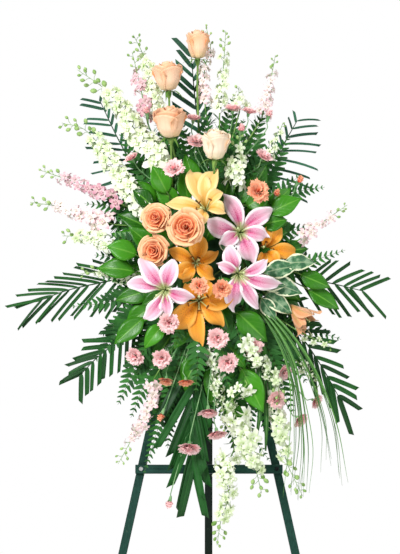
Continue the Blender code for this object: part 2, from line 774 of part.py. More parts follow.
ROSEBUDS = (
    ("rose_bud_top", (-2.5, 46.0, 3.0), (0.00, 0.10, 1.0), 0.90, PEACH, 0.1),
    ("rose_bud_left", (-9.7, 38.4, 5.0), (-0.06, 0.15, 1.0), 1.05, PEACH, 0.75),
    ("rose_bud_low", (-9.2, 27.8, 9.0), (-0.05, 0.30, 1.0), 1.15, PEACH, 1.9),
    ("rose_bud_cream", (1.4, 22.6, 11.0), (0.04, 0.30, 1.0), 1.10, CREAM, 2.6),
)
OPEN_ROSES = (
    ("rose_open_left", (-12.6, 8.7, 13.5), (-0.25, 1.0, 0.15), 0.82, 0.3),
    ("rose_open_middle", (-5.3, 6.7, 17.5), (-0.05, 1.0, 0.12), 1.02, 0.8),
    ("rose_open_low", (-13.2, 1.0, 13.0), (-0.30, 1.0, -0.05), 0.84, 1.4),
)
LILIES = (
    ("lily_yellow", (-0.5, 11.0, 12.0), (0.00, 1.0, 0.35), 50, 1.08, YELLOW),
    ("lily_orange_middle", (-3.0, -1.6, 9.5), (0.00, 1.0, 0.05), 26, 0.86, ORANGE),
    ("lily_orange_low", (-2.5, -10.8, 12.0), (-0.03, 1.0, -0.25), 5, 1.02, ORANGE),
    ("lily_orange_right", (12.9, 1.2, 6.5), (0.25, 1.0, 0.05), 55, 0.92, ORANGE),
    ("lily_pink_upper", (7.1, 5.3, 9.5), (0.10, 1.0, 0.08), 34, 1.06, LILY_PINK),
    ("lily_pink_middle", (6.6, -3.6, 13.0), (0.10, 1.0, -0.05), 26, 1.08, LILY_PINK),
    ("lily_pink_left", (-10.1, -7.4, 15.5), (-0.18, 1.0, -0.12), 8, 1.04, LILY_PINK),
    ("lily_peach_side", (23.0, -13.0, 7.5), (0.45, 0.10, -1.0), 20, 0.80, BROWN_PEACH),
)
LILY_PETAL = (
    (0.003, -0.014, 0.0), (0.010, 0.000, 0.0048), (0.030, 0.014, 0.0145), (0.053, 0.019, 0.0155),
    (0.071, 0.012, 0.0090), (0.084, 0.001, 0.0),
)
LILY_SEPAL = (
    (0.003, -0.016, 0.0), (0.015, 0.001, 0.0052), (0.039, 0.012, 0.0125), (0.064, 0.010, 0.0095),
    (0.085, -0.006, 0.0),
)
LILY_STAMEN = ((0.001, -0.012, 0.0), (0.021, 0.036, 0.0020), (0.026, 0.043, 0.0))
LILY_FILAMENT = 0.0016
STAMENS = 3

# Rose petals: reach from the axis, height over the hip, half width
ROSE_OUTER = ((0.000, 0.004, 0.0), (0.024, 0.008, 0.0160), (0.044, 0.022, 0.0235), (0.053, 0.023, 0.0))
ROSE_MIDDLE = ((0.000, 0.010, 0.0), (0.020, 0.019, 0.0140), (0.032, 0.036, 0.0185), (0.039, 0.041, 0.0))
ROSE_INNER = ((0.000, 0.018, 0.0), (0.012, 0.027, 0.0100), (0.018, 0.044, 0.0125), (0.021, 0.050, 0.0))
BUD_OUTER = ((0.000, 0.006, 0.0), (0.022, 0.013, 0.0150), (0.027, 0.043, 0.0195), (0.034, 0.057, 0.0))
BUD_INNER = ((0.000, 0.010, 0.0), (0.013, 0.022, 0.0105), (0.016, 0.050, 0.0125), (0.012, 0.066, 0.0))
SEAT = 0.0002
SEPAL = ((0.001, -0.002, 0.0), (0.018, -0.004, 0.0048), (0.036, -0.008, 0.0))


def scaled(stations, size, lift=0.0, flare=1.0):
    return [(reach * size * flare, height * size + lift, half * size) for reach, height, half in stations]


def axis_of(facing):
    right, out, up = facing
    return Vector((right, -out, up)).normalized()


def petals(plant, base, axis, stations, count, first, size, thick, cup):
    """A whorl of petals, each turned, tipped or shortened a little where it would meet another flower."""
    for i in range(count):
        def make(turn, i=i):
            aside = (0.0, 0.12, -0.12, 0.24, -0.24, 0.06, -0.06, 0.3)[turn % 8]
            angle = first + 2 * math.pi * i / count + aside
            short = 1.0 - 0.05 * (turn // 4)
            out = around(axis, angle)
            tip = 0.0 if turn < 3 else (0.10, -0.12, 0.22, -0.25, 0.34)[turn % 5]
            rows = [(reach * short, height + tip * reach, half * (1.0 - 0.06 * (turn // 5)))
                    for reach, height, half in scaled(stations, size)]
            return blade(base, out, axis, rows, thick, cup)
        plant.offer(make, 16)


# Stems first, so that every bloom and leaf can give way to them

PLANTS = {}


def rosebud_stems():
    for name, place, facing, size, colour, _ in ROSEBUDS:
        stem = Plant(name + "_stem", GREEN)
        bloom = Plant(name, colour)
        PLANTS[name] = bloom
        PLANTS[name + "_stem"] = stem
        axis = axis_of(facing)
        base = at(*place)
        reserve(bloom.name, base + axis * 0.03 * size, 0.030 * size)
        row = rooted_stem(stem, [base - axis * 0.08, base - axis * 0.001], 0.0028, 0.0026)
        stem.row = row
        bloom.base = base
        bloom.axis = axis


def short_stems():
    for name, place, facing, size, _ in OPEN_ROSES:
        plant = Plant(name, APRICOT)
        PLANTS[name] = plant
        plant.base = at(*place)
        plant.axis = axis_of(facing)
        reserve(name, plant.base + plant.axis * 0.025 * size, 0.030 * size)
    for name, place, facing, _, size, colour in LILIES:
        plant = Plant(name, colour, 0.45)
        PLANTS[name] = plant
        plant.base = at(*place)
        plant.axis = axis_of(facing)
        reserve(name, plant.base + plant.axis * 0.004, 0.018 * size)
    for name, _, _, _, _ in OPEN_ROSES:
        plant = PLANTS[name]
        rooted_stem(plant, [plant.base - plant.axis * 0.02, plant.base + plant.axis * 0.004], 0.0028, 0.0026)
    for name, _, _, _, _, _ in LILIES:
        plant = PLANTS[name]
        rooted_stem(plant, [plant.base - plant.axis * 0.035, plant.base - plant.axis * 0.012], 0.0028, 0.0030)


# Carnation sprays: the hub where the stems part, then each head as place, way it faces and size

CARNATIONS = (
    ("carnations_upper_left", PINK, (-7.5, 13.5, 5.5), (
        ((-8.1, 20.3, 11.0), (-0.1, 1.0, 0.5), 1.0),
        ((-17.9, 22.8, 6.0), (-0.6, 0.4, 0.8), 0.75),
        ((-14.3, 33.3, 5.0), (-0.2, 0.3, 1.0), 0.60),
    )),
    ("carnations_top", PINK, (1.5, 16.0, 5.0), (
        ((-3.0, 26.6, 8.5), (0.0, 0.6, 0.8), 0.95),
        ((-3.7, 32.0, 5.5), (0.0, 0.3, 1.0), 0.80),
        ((5.5, 34.2, 6.5), (0.1, 0.3, 1.0), 0.85),
        ((7.4, 29.2, 8.0), (0.2, 0.5, 0.8), 0.55),
        ((9.2, 33.6, 5.0), (0.2, 0.3, 1.0), 0.80),
        ((13.8, 32.6, 4.0), (0.3, 0.2, 1.0), 0.55),
        ((12.7, 23.2, 7.0), (0.5, 0.5, 0.7), 0.90),
    )),
    ("carnations_coral_right", CORAL, (8.5, 9.5, 5.0), (
        ((11.3, 15.0, 10.5), (0.2, 1.0, 0.3), 1.15),
        ((15.4, 14.2, 7.5), (0.3, 0.4, 1.0), 0.50),
        ((20.7, 17.4, 5.0), (0.5, 0.3, 0.8), 0.55),
    )),
    ("carnations_coral_low", CORAL, (-0.6, -7.5, 8.0), (
        ((-2.2, -6.6, 19.5), (-0.1, 1.0, 0.1), 0.90),
        ((2.9, -7.3, 18.5), (0.1, 1.0, -0.1), 0.95),
        ((-9.9, -28.3, 12.5), (-0.2, 0.5, -1.0), 0.75),
        ((-5.3, -28.5, 13.5), (0.1, 0.5, -1.0), 0.75),
        ((-10.8, -36.0, 12.0), (-0.4, 0.4, -1.0), 0.55),
    )),
    ("carnations_left", PINK, (-7.8, -11.0, 6.0), (
        ((-9.2, -15.0, 17.0), (-0.1, 1.0, -0.2), 1.05),
        ((-17.0, -22.8, 9.5), (-0.5, 0.9, -0.4), 0.95),
        ((-10.8, -23.2, 13.5), (-0.2, 1.0, -0.4), 1.0),
    )),
    ("carnations_low", PINK, (2.0, -15.5, 7.0), (
        ((1.9, -18.6, 14.5), (0.0, 1.0, -0.1), 1.05),
        ((4.3, -24.1, 14.5), (0.1, 1.0, -0.3), 1.0),
        ((10.1, -20.6, 11.0), (0.4, 1.0, -0.2), 1.0),
        ((-0.2, -35.4, 14.5), (0.0, 1.0, -0.2), 1.0),
        ((1.8, -40.6, 14.0), (0.1, 1.0, -0.3), 0.95),
        ((-4.5, -43.8, 13.5), (-0.2, 1.0, -0.3), 1.1),
        ((-9.0, -56.0, 12.5), (-0.2, 0.6, -1.0), 0.55),
    )),
    ("carnations_right", PINK, (8.2, -14.0, 4.4), (
        ((17.3, -26.5, 9.0), (0.6, 0.7, -0.5), 0.85),
        ((15.4, -32.7, 10.5), (0.3, 1.0, -0.4), 0.95),
        ((24.6, -33.2, 8.0), (0.8, 0.5, -0.4), 0.80),
        ((20.9, -37.4, 9.0), (0.6, 0.6, -0.6), 0.85),
    )),
)
CARNATION_DEPTH = 0.026

# Rings of a head: height over the calyx's rim, radius, waist between teeth, lift of the teeth
CARNATION_RINGS = ((-0.017, 0.0, 1.0, 0.0), (-0.003, 0.0245, 0.80, 0.0026), (0.008, 0.0120, 0.9, 0.0),
                   (0.011, 0.0200, 0.78, 0.0026), (0.021, 0.0, 1.0, 0.0))
CARNATION_BUD_RINGS = ((-0.020, 0.0, 1.0, 0.0), (-0.004, 0.0080, 0.95, 0.0), (0.012, 0.0150, 0.72, 0.0022),
                       (0.018, 0.0, 1.0, 0.0))


def carnation_hearts():
    for name, _, _, heads in CARNATIONS:
        for place, facing, size in heads:
            reserve(name, at(*place) + axis_of(facing) * 0.4 * CARNATION_DEPTH * size, 0.016 * size)


def carnation_stems():
    for name, colour, hub, heads in CARNATIONS:
        plant = Plant(name, colour)
        PLANTS[name] = plant
        row = rooted_stem(plant, [at(*hub)], 0.0022, 0.0020)
        plant.heads = []
        start = fork_of(row)
        for place, facing, size in heads:
            axis = axis_of(facing)
            base = at(*place)
            back = 0.022 * size
            route = [base - axis * (back + 0.02), base - axis * back * 0.3]
            branch(plant, start, route, 0.0020, 0.0018)
            plant.heads.append((base, axis, size))


def carnation_heads():
    for plant in [PLANTS[name] for name, _, _, _ in CARNATIONS]:
        for base, axis, size in plant.heads:
            spin = CHANCE.uniform(0, math.pi)
            shape, sides = (CARNATION_BUD_RINGS, 6) if size < 0.7 else (CARNATION_RINGS, 8)
            size = max(size, 0.75)
            low = shape[0][0] * size
            high = shape[-1][0] * size

            def make(turn):
                row = [base + axis * low, base + axis * high]
                small = 1.0 - 0.07 * (turn // 2)
                rings = [((height * size - low) / (high - low), radius * size * small, waist,
                          lift * size, spin + 0.3 * turn + 0.3 * i)
                         for i, (height, radius, waist, lift) in enumerate(shape)]
                return column(row, rings, sides)
            plant.offer(make, 20)
        SPACE.forget(plant.name)


# Larkspur: the hub, then each spike from its lowest floret to its tip, its whorls and its size

LARKSPUR = (
    ("larkspur_white_upper_left", WHITE, (-7.5, 14.5, 2.5), (
        (((-11.3, 21.2, 5.0), (-17.5, 30.0, 4.5), (-23.5, 38.2, 4.0), (-30.4, 43.3, 3.5)), 9, 1.0),
        (((-11.6, 33.0, 2.5), (-14.5, 44.9, 2.0), (-17.5, 51.5, 1.5)), 5, 0.75),
        (((-15.0, 35.5, 1.0), (-17.9, 44.9, 0.5)), 3, 0.65),
    )),
    ("larkspur_left", WHITE, (-9.0, 6.5, 2.0), (
        (((-14.0, 9.6, 6.5), (-17.6, 14.9, 6.0), (-27.6, 28.5, 3.5), (-34.0, 31.0, 3.0)), 8, 1.0),
        (((-23.6, 8.0, 3.0), (-27.6, 9.0, 3.0), (-33.8, 11.5, 2.5), (-41.4, 12.7, 2.0)), 5, 0.85),
        (((-23.2, 2.6, 4.5), (-27.0, 4.6, 4.5), (-33.8, 4.9, 4.0)), 3, 0.85),
        (((-17.3, -4.4, 5.0), (-24.2, -3.4, 4.5), (-29.7, -3.9, 4.0)), 3, 0.9),
    )),
    ("larkspur_pink_left", MAUVE, (-8.8, 9.5, -0.5), (
        (((-21.2, 12.7, 4.0), (-30.0, 16.9, 3.5), (-39.3, 20.2, 3.0)), 6, 0.9),
    )),
    ("larkspur_top", WHITE, (2.4, 16.0, 1.5), (
        (((-0.9, 36.6, 1.5), (-1.0, 43.9, 1.0), (0.4, 48.1, 0.8), (-0.8, 54.0, 0.6)), 5, 0.75),
        (((2.6, 34.5, 3.0), (3.2, 42.0, 2.5), (3.9, 52.4, 2.0)), 5, 0.8),
        (((12.7, 34.0, 1.5), (13.8, 38.5, 1.2), (15.4, 46.8, 1.0)), 3, 0.75),
        (((7.0, 35.6, 3.0), (6.9, 39.4, 3.0)), 2, 0.9),
        (((6.0, 17.6, 8.0), (6.2, 22.8, 8.5), (7.3, 28.0, 8.0)), 5, 1.05),
        (((14.5, 24.6, 3.0), (17.2, 31.2, 2.8)), 3, 0.6),
    )),
    ("larkspur_right", MAUVE, (8.4, 3.0, 1.5), (
        (((22.1, 5.0, 5.0), (27.0, 8.6, 4.5), (31.9, 12.0, 4.0)), 3, 0.85),
    )),
    ("larkspur_low_right", WHITE, (8.2, -9.5, 2.0), (
        (((11.2, -24.8, 8.0), (13.0, -29.5, 6.6), (16.0, -38.5, 8.6), (17.7, -46.7, 11.0),
          (21.4, -54.7, 11.5)),
         8, 0.9),
        (((22.3, -26.0, 7.0), (25.3, -28.6, 7.0), (24.4, -31.0, 7.0)), 3, 0.65),
        (((22.8, -18.2, 8.5), (28.2, -20.8, 8.5)), 2, 0.65),
    )),
    ("larkspur_low_middle", WHITE, (2.8, -17.0, 2.5), (
        (((6.2, -31.3, 11.5), (8.2, -36.3, 13.0), (8.5, -43.0, 13.5), (11.0, -52.9, 13.0)), 8, 1.15),
        (((1.2, -21.5, 10.0), (2.4, -31.5, 10.5), (3.8, -38.0, 11.0)), 4, 0.85),
        (((4.9, -46.0, 10.5), (3.2, -49.7, 11.0), (4.6, -54.6, 11.5), (2.8, -60.0, 11.5), (1.8, -66.0, 11.5)),
         6, 0.85),
    )),
    ("larkspur_low_left", MAUVE, (-5.6, -16.4, 1.5), (
        (((-12.9, -29.8, 9.5), (-13.8, -35.0, 10.0), (-17.7, -41.8, 10.5), (-20.8, -47.4, 10.5)), 6, 0.85),
    )),
)
FLORET_RADIUS = 0.0185
FLORET_WAIST = 0.42
FLORET_TIP = 0.004
SPIKE_NECK = 0.0026
SPIKE_ROOM = 0.0040


def larkspur_stems():
    for name, colour, hub, spikes in LARKSPUR:
        plant = Plant(name, colour)
        PLANTS[name] = plant
        plant.rows = []
        row = rooted_stem(plant, [at(*hub)], 0.0024, 0.0022)
        start = fork_of(row)
        for route, whorls, size in spikes:
            points = [at(*point) for point in route]
            back = (points[0] - points[1]).normalized() * 0.02
            made = branch(plant, start, [points[0] + back, points[0]], 0.0024, 0.0022)
            length = sum((b - a).length for a, b in zip(points, points[1:]))
            row = smooth([made[-2].lerp(made[-1], 0.6), *points], max(4, round(length / 0.02)))
            plant.rows.append((row, whorls, size))
            SPACE.add(name, tube(row, [SPIKE_ROOM] * len(row)), "heart")


def larkspur_florets():
    """Whorls of florets, each a star round the spike's stem, smaller and closed to buds towards the tip."""
    for plant in [PLANTS[name] for name, _, _, _ in LARKSPUR]:
        for row, whorls, size in plant.rows:
            rings = [(0.0, 0.0, 1.0, 0.0, 0.0)]
            for i in range(whorls):
                late = i / whorls
                share = (i + 0.55) / (whorls + 0.25)
                full = FLORET_RADIUS * size * (1.1 - 0.75 * late)
                for turn in range(10):
                    radius = full * (1.0 - 0.16 * (turn // 2))
                    spin = 1.05 * i + 0.5 * (turn % 2)
                    step = 0.3 / whorls
                    star = (share, radius, FLORET_WAIST, FLORET_TIP * size, spin)
                    ends = [(share - step, 0.0, 1.0, 0.0, 0.0), (min(1.0, share + step), 0.0, 1.0, 0.0, 0.0)]
                    trial = column(row, [ends[0], star, ends[1]], 6)
                    clear = SPACE.is_clear(plant.name, trial)
                    trial.free()
                    if clear:
                        break
                    radius = SPIKE_NECK
                rings.append((share, radius, FLORET_WAIST, FLORET_TIP * size, spin))
                if i < whorls - 1:
                    rings.append((share + 0.45 / whorls, SPIKE_NECK + 0.16 * full, 1.0, 0.0, spin + 0.5))
            rings.append((1.0, 0.0, 1.0, 0.0, 0.0))
            plant.fit(lambda share: column(row, [(place, radius * share, *rest)
                                                 for place, radius, *rest in rings], 6))
        SPACE.forget(plant.name)


# Palm fronds: the rib outwards, then leaflet pairs, length, their angle in degrees, share of bare rib

PALMS = (
    ("palm_upper_left", ((-10.0, 15.0, 1.0), (-16.1, 19.3, 0.0), (-20.7, 26.7, -1.0), (-25.3, 36.3, -1.5)),
     10, 12.0, 52, 0.34),
    ("palm_left", ((-13.0, -3.5, 2.0), (-25.5, -6.6, 2.0), (-35.4, -7.4, 1.5), (-43.5, -9.4, 1.0)),
     11, 11.0, 50, 0.34),
    ("palm_lower_left", ((-11.0, -14.0, 4.0), (-20.5, -20.7, 5.5), (-31.0, -28.4, 6.0)), 10, 10.5, 52, 0.30),
    ("palm_bottom", ((-5.0, -19.0, 7.5), (-4.6, -33.4, 9.0), (-3.0, -60.0, 9.5)), 9, 16.5, 30, 0.36),
    ("palm_right", ((13.0, -3.5, 1.5), (20.9, -5.4, 1.5), (29.2, -6.3, 1.5), (39.5, -8.2, 1.0)),
     10, 10.5, 54, 0.28),
    ("palm_upper_right", ((8.5, 14.5, 0.5), (12.2, 18.2, 0.0), (17.2, 25.5, -1.0), (21.4, 33.0, -1.5)),
     8, 11.5, 52, 0.36),
    ("palm_lower_right", ((12.0, -12.0, 4.0), (22.3, -22.2, 5.5), (31.0, -32.6, 5.5)), 9, 10.5, 48, 0.32),
    ("palm_top", ((0.0, 18.0, -1.0), (-2.9, 34.3, -1.0), (-4.1, 47.0, -1.0)), 8, 8.0, 44, 0.42),
)
LEAFLET_BASE = 0.0095
RIB_HALF = 0.0022
BARE_OVERLAP = 0.04
LEAFLET_LIFTS = (0.0, 0.012, -0.012, 0.025, -0.025)


def palm_stems():
    for name, route, _, _, _, first in PALMS:
        plant = Plant(name, PALM_GREEN, 0.5)
        PLANTS[name] = plant
        points = [at(*point) for point in route]
        plant.row = rooted_stem(plant, points, 0.0026, 0.0016, 4, first + BARE_OVERLAP)


def leaflet_comb(row, leaflets):
    """A palm frond cut to its rib: pairs of leaflets, each hand (length, angle, lift), with rib between."""
    rings = [(0.0, 0.0, 0.0)]
    for share, foot, *hands in leaflets:
        rings.append((share - foot, None, hands))
        rings.append((share, "tip", hands))
        rings.append((share + foot, None, hands))
    rings.append((1.0, 0.0, 0.0))
    bm = ball(4, len(rings) - 2)
    for vert in bm.verts:
        ring, angle = ring_and_angle(vert, len(rings) - 2)
        share, kind, hands = rings[ring]
        spot, way = along_row(row, max(0.0, min(1.0, share)))
        vert.co = spot
        if ring in (0, len(rings) - 1):
            continue
        side = way.cross(Vector((0.0, -1.0, 0.0))).normalized()
        normal = side.cross(way).normalized()
        across = math.cos(angle)
        if abs(across) < 0.5:
            vert.co = spot + normal * (FROND_THICK / 2 * math.sin(angle))
            continue
        length, swing, lift = hands[1 if across > 0.0 else 0]
        if kind == "tip":
            reach = length * math.sin(swing) * across
            vert.co = spot + side * reach + way * (length * math.cos(swing)) + normal * lift
        else:
            vert.co = spot + side * across * RIB_HALF
    outward(bm)
    bmesh.ops.triangulate(bm, faces=bm.faces[:], quad_method="SHORT_EDGE")
    return bm


def palm_fronds():
    """Each leaflet bends out of the frond's plane, or grows shorter, where it would meet another plant."""
    for name, _, pairs, length, spread, first in PALMS:
        plant = PLANTS[name]
        spot, _ = along_row(plant.row, first)
        row = [spot, *[point for i, point in enumerate(plant.row) if i / (len(plant.row) - 1) > first + 0.01]]
        whole = sum((b - a).length for a, b in zip(row, row[1:]))
        row = smooth(row, 12)
        foot = LEAFLET_BASE / whole
        leaflets = []
        for i in range(pairs):
            late = i / pairs
            share = (i + 0.4) / (pairs + 0.1)
            long = length * 0.01 * (1.0 - 0.55 * abs(late - 0.3) ** 1.4)
            swing = math.radians(spread) * (1.15 - 0.65 * late)
            hands = []
            for hand in (0, 1):
                other = (RIB_HALF, math.pi / 2, 0.0)
                for turn in range(30):
                    lift = LEAFLET_LIFTS[turn % 5] - 0.05 * long
                    trial_hand = (long * (1.0 - 0.15 * (turn // 5)), swing + (0.0, 0.1, -0.1)[turn % 3], lift)
                    pair = (trial_hand, other) if hand == 0 else (other, trial_hand)
                    trial = leaflet_comb(row, [(share, foot, *pair)])
                    clear = SPACE.is_clear(plant.name, trial)
                    trial.free()
                    if clear:
                        break
                    trial_hand = other
                hands.append(trial_hand)
            leaflets.append((share, foot, *hands))
        plant.fit(lambda share: leaflet_comb(row, [(place, foot, *[(reach * share, swing, lift)
                                                                   for reach, swing, lift in hands])
                                                   for place, foot, *hands in leaflets]))
        SPACE.forget(name)


# Fern fronds, grouped on one stem: rachis routes, then pinna pairs and length

FERNS = (
    ("fern_left", (-8.5, -1.5, 3.5), (
        (((-14.0, 8.6, 4.5), (-21.0, 11.4, 2.5), (-28.8, 12.4, 1.5)), 7, 3.4),
        (((-13.0, -5.0, 4.0), (-22.0, -10.0, 3.5), (-32.0, -11.5, 3.0)), 7, 3.6),
        (((-8.0, -27.0, 8.5), (-11.0, -37.0, 9.0), (-15.0, -50.0, 9.0)), 7, 3.4),
    )),
    ("fern_right", (8.5, -1.5, 3.0), (
        (((13.0, 12.0, 3.0), (20.0, 15.0, 2.5), (26.8, 16.2, 2.0)), 6, 3.6),
        (((18.0, -3.0, 4.5), (25.0, -0.5, 4.0), (31.5, 1.6, 3.5)), 6, 3.0),
        (((14.0, -11.0, 5.0), (22.0, -16.0, 5.0), (30.5, -19.0, 5.0)), 6, 3.4),
        (((6.5, -27.0, 8.0), (7.5, -37.0, 8.5), (14.0, -47.0, 8.5)), 7, 3.4),
    )),
)
FERN_ROOM = 0.003


def fern_stems():
    for name, hub, fronds in FERNS:
        plant = Plant(name, GREEN)
        PLANTS[name] = plant
        plant.rows = []
        row = rooted_stem(plant, [at(*hub)], 0.0020, 0.0018)
        start = fork_of(row)
        for route, pairs, length in fronds:
            points = [at(*point) for point in route]
            back = (points[0] - points[1]).normalized() * 0.02
            made = branch(plant, start, [points[0] + back, points[0]], 0.0018, 0.0016)
            row = smooth([made[-2].lerp(made[-1], 0.6), *points], 2 * pairs)
            plant.rows.append((row, pairs, length))
            SPACE.add(name, tube(row, [FERN_ROOM] * len(row)), "heart")


def fern_fronds():
    """Fronds cut to the rib: each pinna shrinks by itself where it would meet another plant."""
    for plant in [PLANTS[name] for name, _, _ in FERNS]:
        for row, pairs, length in plant.rows:
            rings = [(0.0, 0.0, 0.0, 0.0)]
            for i in range(pairs):
                share = (i + 0.5) / (pairs + 0.3)
                full = length * 0.01 * (1.0 - 0.7 * abs(i / pairs - 0.25) ** 1.2)
                halves = []
                for hand in (0, 1):
                    for turn in range(8):
                        half = full * (1.0 - 0.11 * turn)
                        pair = (half, 0.001) if hand == 0 else (0.001, half)
                        step = 0.35 / pairs
                        trial = comb(row, [(share - step, 0.0, 0.0, 0.0), (share, *pair, 0.5 * half),
                                           (min(1.0, share + step), 0.0, 0.0, 0.0)])
                        clear = SPACE.is_clear(plant.name, trial)
                        trial.free()
                        if clear:
                            break
                    halves.append(half)
                rings.append((share, *halves, 0.5 * full))
                if i < pairs - 1:
                    rings.append((share + 0.55 / pairs, 0.0026, 0.0026, 0.0))
            rings.append((1.0, 0.0, 0.0, 0.0))
            plant.fit(lambda share: comb(row, [(place, left * share, right * share, sweep)
                                               for place, left, right, sweep in rings]))
        SPACE.forget(plant.name)


# Broad leaves: a hub, then each leaf as base, tip (both right, up, out) and half width in centimetres

LEAVES = (
    ("salal_left", GREEN, (-8.4, 2.0, 4.0), (
        ((-9.6, 14.6, 8.0), (-13.0, 21.0, 8.5), 2.3),
        ((-13.0, 11.5, 8.5), (-17.5, 15.5, 8.5), 2.0),
        ((-16.5, 0.5, 9.0), (-23.5, 2.6, 9.0), 2.4),
        ((-17.0, -3.4, 8.0), (-26.0, -2.4, 7.0), 2.3),
        ((-15.0, -14.0, 9.0), (-21.8, -20.0, 9.5), 2.2),
        ((-10.5, -15.5, 10.0), (-14.8, -21.0, 10.5), 1.9),
        ((-2.0, -22.0, 10.5), (-6.0, -30.0, 11.5), 2.2),
    )),
    ("salal_right", GREEN, (8.4, 0.2, 4.6), (
        ((13.8, 10.0, 7.5), (21.4, 13.6, 7.5), 2.3),
        ((8.6, 11.6, 7.5), (14.0, 14.6, 7.5), 2.6),
        ((12.0, 7.4, 8.0), (18.0, 8.6, 8.0), 2.2),
        ((21.0, -4.0, 6.5), (28.0, -7.0, 6.5), 2.0),
        ((23.0, -7.6, 5.5), (30.0, -12.0, 5.5), 2.1),
        ((6.4, -12.6, 11.0), (13.4, -19.4, 10.5), 2.7),
        ((7.6, -25.6, 10.5), (12.4, -35.6, 11.5), 2.9),
    )),
    ("variegated_leaves", LIGHT_GREEN, (8.6, -5.6, 4.4), (
        ((12.6, -3.6, 9.5), (20.6, -2.0, 9.0), 2.2),
        ((13.6, -5.6, 9.0), (21.4, -8.4, 8.5), 2.3),
        ((13.0, -8.4, 9.0), (19.0, -13.2, 8.5), 2.1),
    )),
)
LEAF_OUTLINE = ((0.0, 0.0, 0.0), (0.18, 0.02, 0.76), (0.50, 0.03, 1.0), (0.82, -0.02, 0.56),
                (1.0, -0.07, 0.0))


def leaf_stems():
    for name, colour, hub, leaves in LEAVES:
        plant = Plant(name, colour, 0.35)
        PLANTS[name] = plant
        plant.leaves = []
        row = rooted_stem(plant, [at(*hub)], 0.0024, 0.0022)
        start = fork_of(row)
        for base, tip, half in leaves:
            root = at(*base)
            way = (at(*tip) - root).normalized()
            made = branch(plant, start, [root - way * 0.02, root + way * 0.008], 0.0019, 0.0017)
            plant.leaves.append((made[-2], at(*tip), half * 0.01))


def leaf_blades():
    for name, _, _, _ in LEAVES:
        plant = PLANTS[name]
        for root, tip, half in plant.leaves:
            def make(turn, root=root, tip=tip, half=half):
                along = tip - root
                length = along.length * (1.0 - 0.06 * (turn // 6))
                out = along.normalized()
                toward = Vector((0.0, -1.0, 0.15))
                lean = (0.0, 0.18, -0.18, 0.32, -0.32, 0.5)[turn % 6]
                side = out.cross(toward).normalized()
                out = (out + toward.normalized() * lean * 0.8).normalized()
                up = (toward + side * (0.0, 0.3, -0.3, 0.5)[turn % 4]).normalized()
                wide = half * (1.0 - 0.08 * (turn // 6))
                rows = [(reach * length, lift * length, share * wide) for reach, lift, share in LEAF_OUTLINE]
                return blade(root, out, up, rows, 0.0016, 0.18)
            plant.offer(make, 30)


# Bear grass: long thin blades from one knot

GRASS_HUB = (8.6, -12.0, 5.6)
GRASS = (
    ((12.7, -14.0, 10.0), (18.2, -26.0, 13.5), (19.6, -42.0, 13.0), (18.6, -56.0, 12.0)),
    ((13.2, -13.6, 10.4), (19.2, -24.5, 13.8), (22.6, -42.0, 13.2), (22.0, -57.0, 12.6)),
    ((13.6, -13.2, 9.6), (21.0, -24.0, 12.8), (26.2, -38.0, 12.0), (27.6, -50.0, 11.0)),
    ((14.0, -12.6, 9.0), (22.0, -23.0, 12.0), (28.4, -38.0, 10.8), (30.2, -54.4, 9.8)),
)


def bear_grass():
    plant = Plant("bear_grass", LIGHT_GREEN, 0.5)
    PLANTS["bear_grass"] = plant
    row = rooted_stem(plant, [at(*GRASS_HUB)], 0.0024, 0.0022)
    start = fork_of(row)
    for route in GRASS:
        branch(plant, start, [at(*point) for point in route], 0.0020, 0.0012)


def rosebud_blooms():
    for name, _, _, size, _, first in ROSEBUDS:
        bloom = PLANTS[name]
        stem = PLANTS[name + "_stem"]
        base = bloom.base + bloom.axis * SEAT
        stem.offer(lambda turn: bead(bloom.base - bloom.axis * 0.014 * size, bloom.base - bloom.axis * 0.0001,
                                     0.0058 * size, 6), 1)
        for i in range(5):
            def make(turn, i=i):
                out = around(bloom.axis, first + 1.2566 * i + 0.2 * turn)
                low = bloom.base - bloom.axis * 0.0075 * size
                return blade(low, out, bloom.axis, scaled(SEPAL, size, -0.002), 0.0014, 0.0, 3)
            stem.offer(make, 6)
        bloom.offer(lambda turn: bead(base, base + bloom.axis * 0.058 * size, 0.0092 * size, 5, 2), 1)
        petals(bloom, base, bloom.axis, BUD_INNER, 3, first, size, 0.0016, 0.55)
        petals(bloom, base, bloom.axis, BUD_OUTER, 4, first + 0.5, size, 0.0018, 0.45)
        SPACE.forget(name)


def open_roses():
    for name, _, _, size, first in OPEN_ROSES:
        bloom = PLANTS[name]
        base = bloom.base
        axis = bloom.axis
        tip = base + axis * 0.046 * size
        bloom.offer(lambda turn: bead(base - axis * 0.002, tip, 0.0105 * size, 6, 2), 1)
        petals(bloom, base, axis, ROSE_INNER, 3, first + 0.3, size, 0.0016, 0.55)
        petals(bloom, base, axis, ROSE_MIDDLE, 4, first, size, 0.0016, 0.40)
        petals(bloom, base, axis, ROSE_OUTER, 5, first + 0.63, size, 0.0018, 0.22)
        SPACE.forget(name)


def lilies():
    for name, _, _, start, size, _ in LILIES:
        bloom = PLANTS[name]
        first = math.radians(start)
        bloom.offer(lambda turn: bead(bloom.base - bloom.axis * 0.026 * size, bloom.base + bloom.axis * 0.001,
                                      0.0070 * size), 1)
        petals(bloom, bloom.base, bloom.axis, LILY_PETAL, 3, first, size, 0.0026, 0.14)
        petals(bloom, bloom.base, bloom.axis, LILY_SEPAL, 3, first + math.pi / 3, size, 0.0024, 0.10)
        for i in range(STAMENS):
            def make(turn, i=i):
                out = around(bloom.axis, first + 0.4 + 2 * math.pi / STAMENS * i + 0.15 * turn)
                rows = scaled(LILY_STAMEN, size)
                return blade(bloom.base, out, bloom.axis, rows, LILY_FILAMENT, 0.0, 3)
            bloom.offer(make, 6)
        SPACE.forget(name)


# Build: stems first, then blooms from the largest down, then the greenery that fills in between

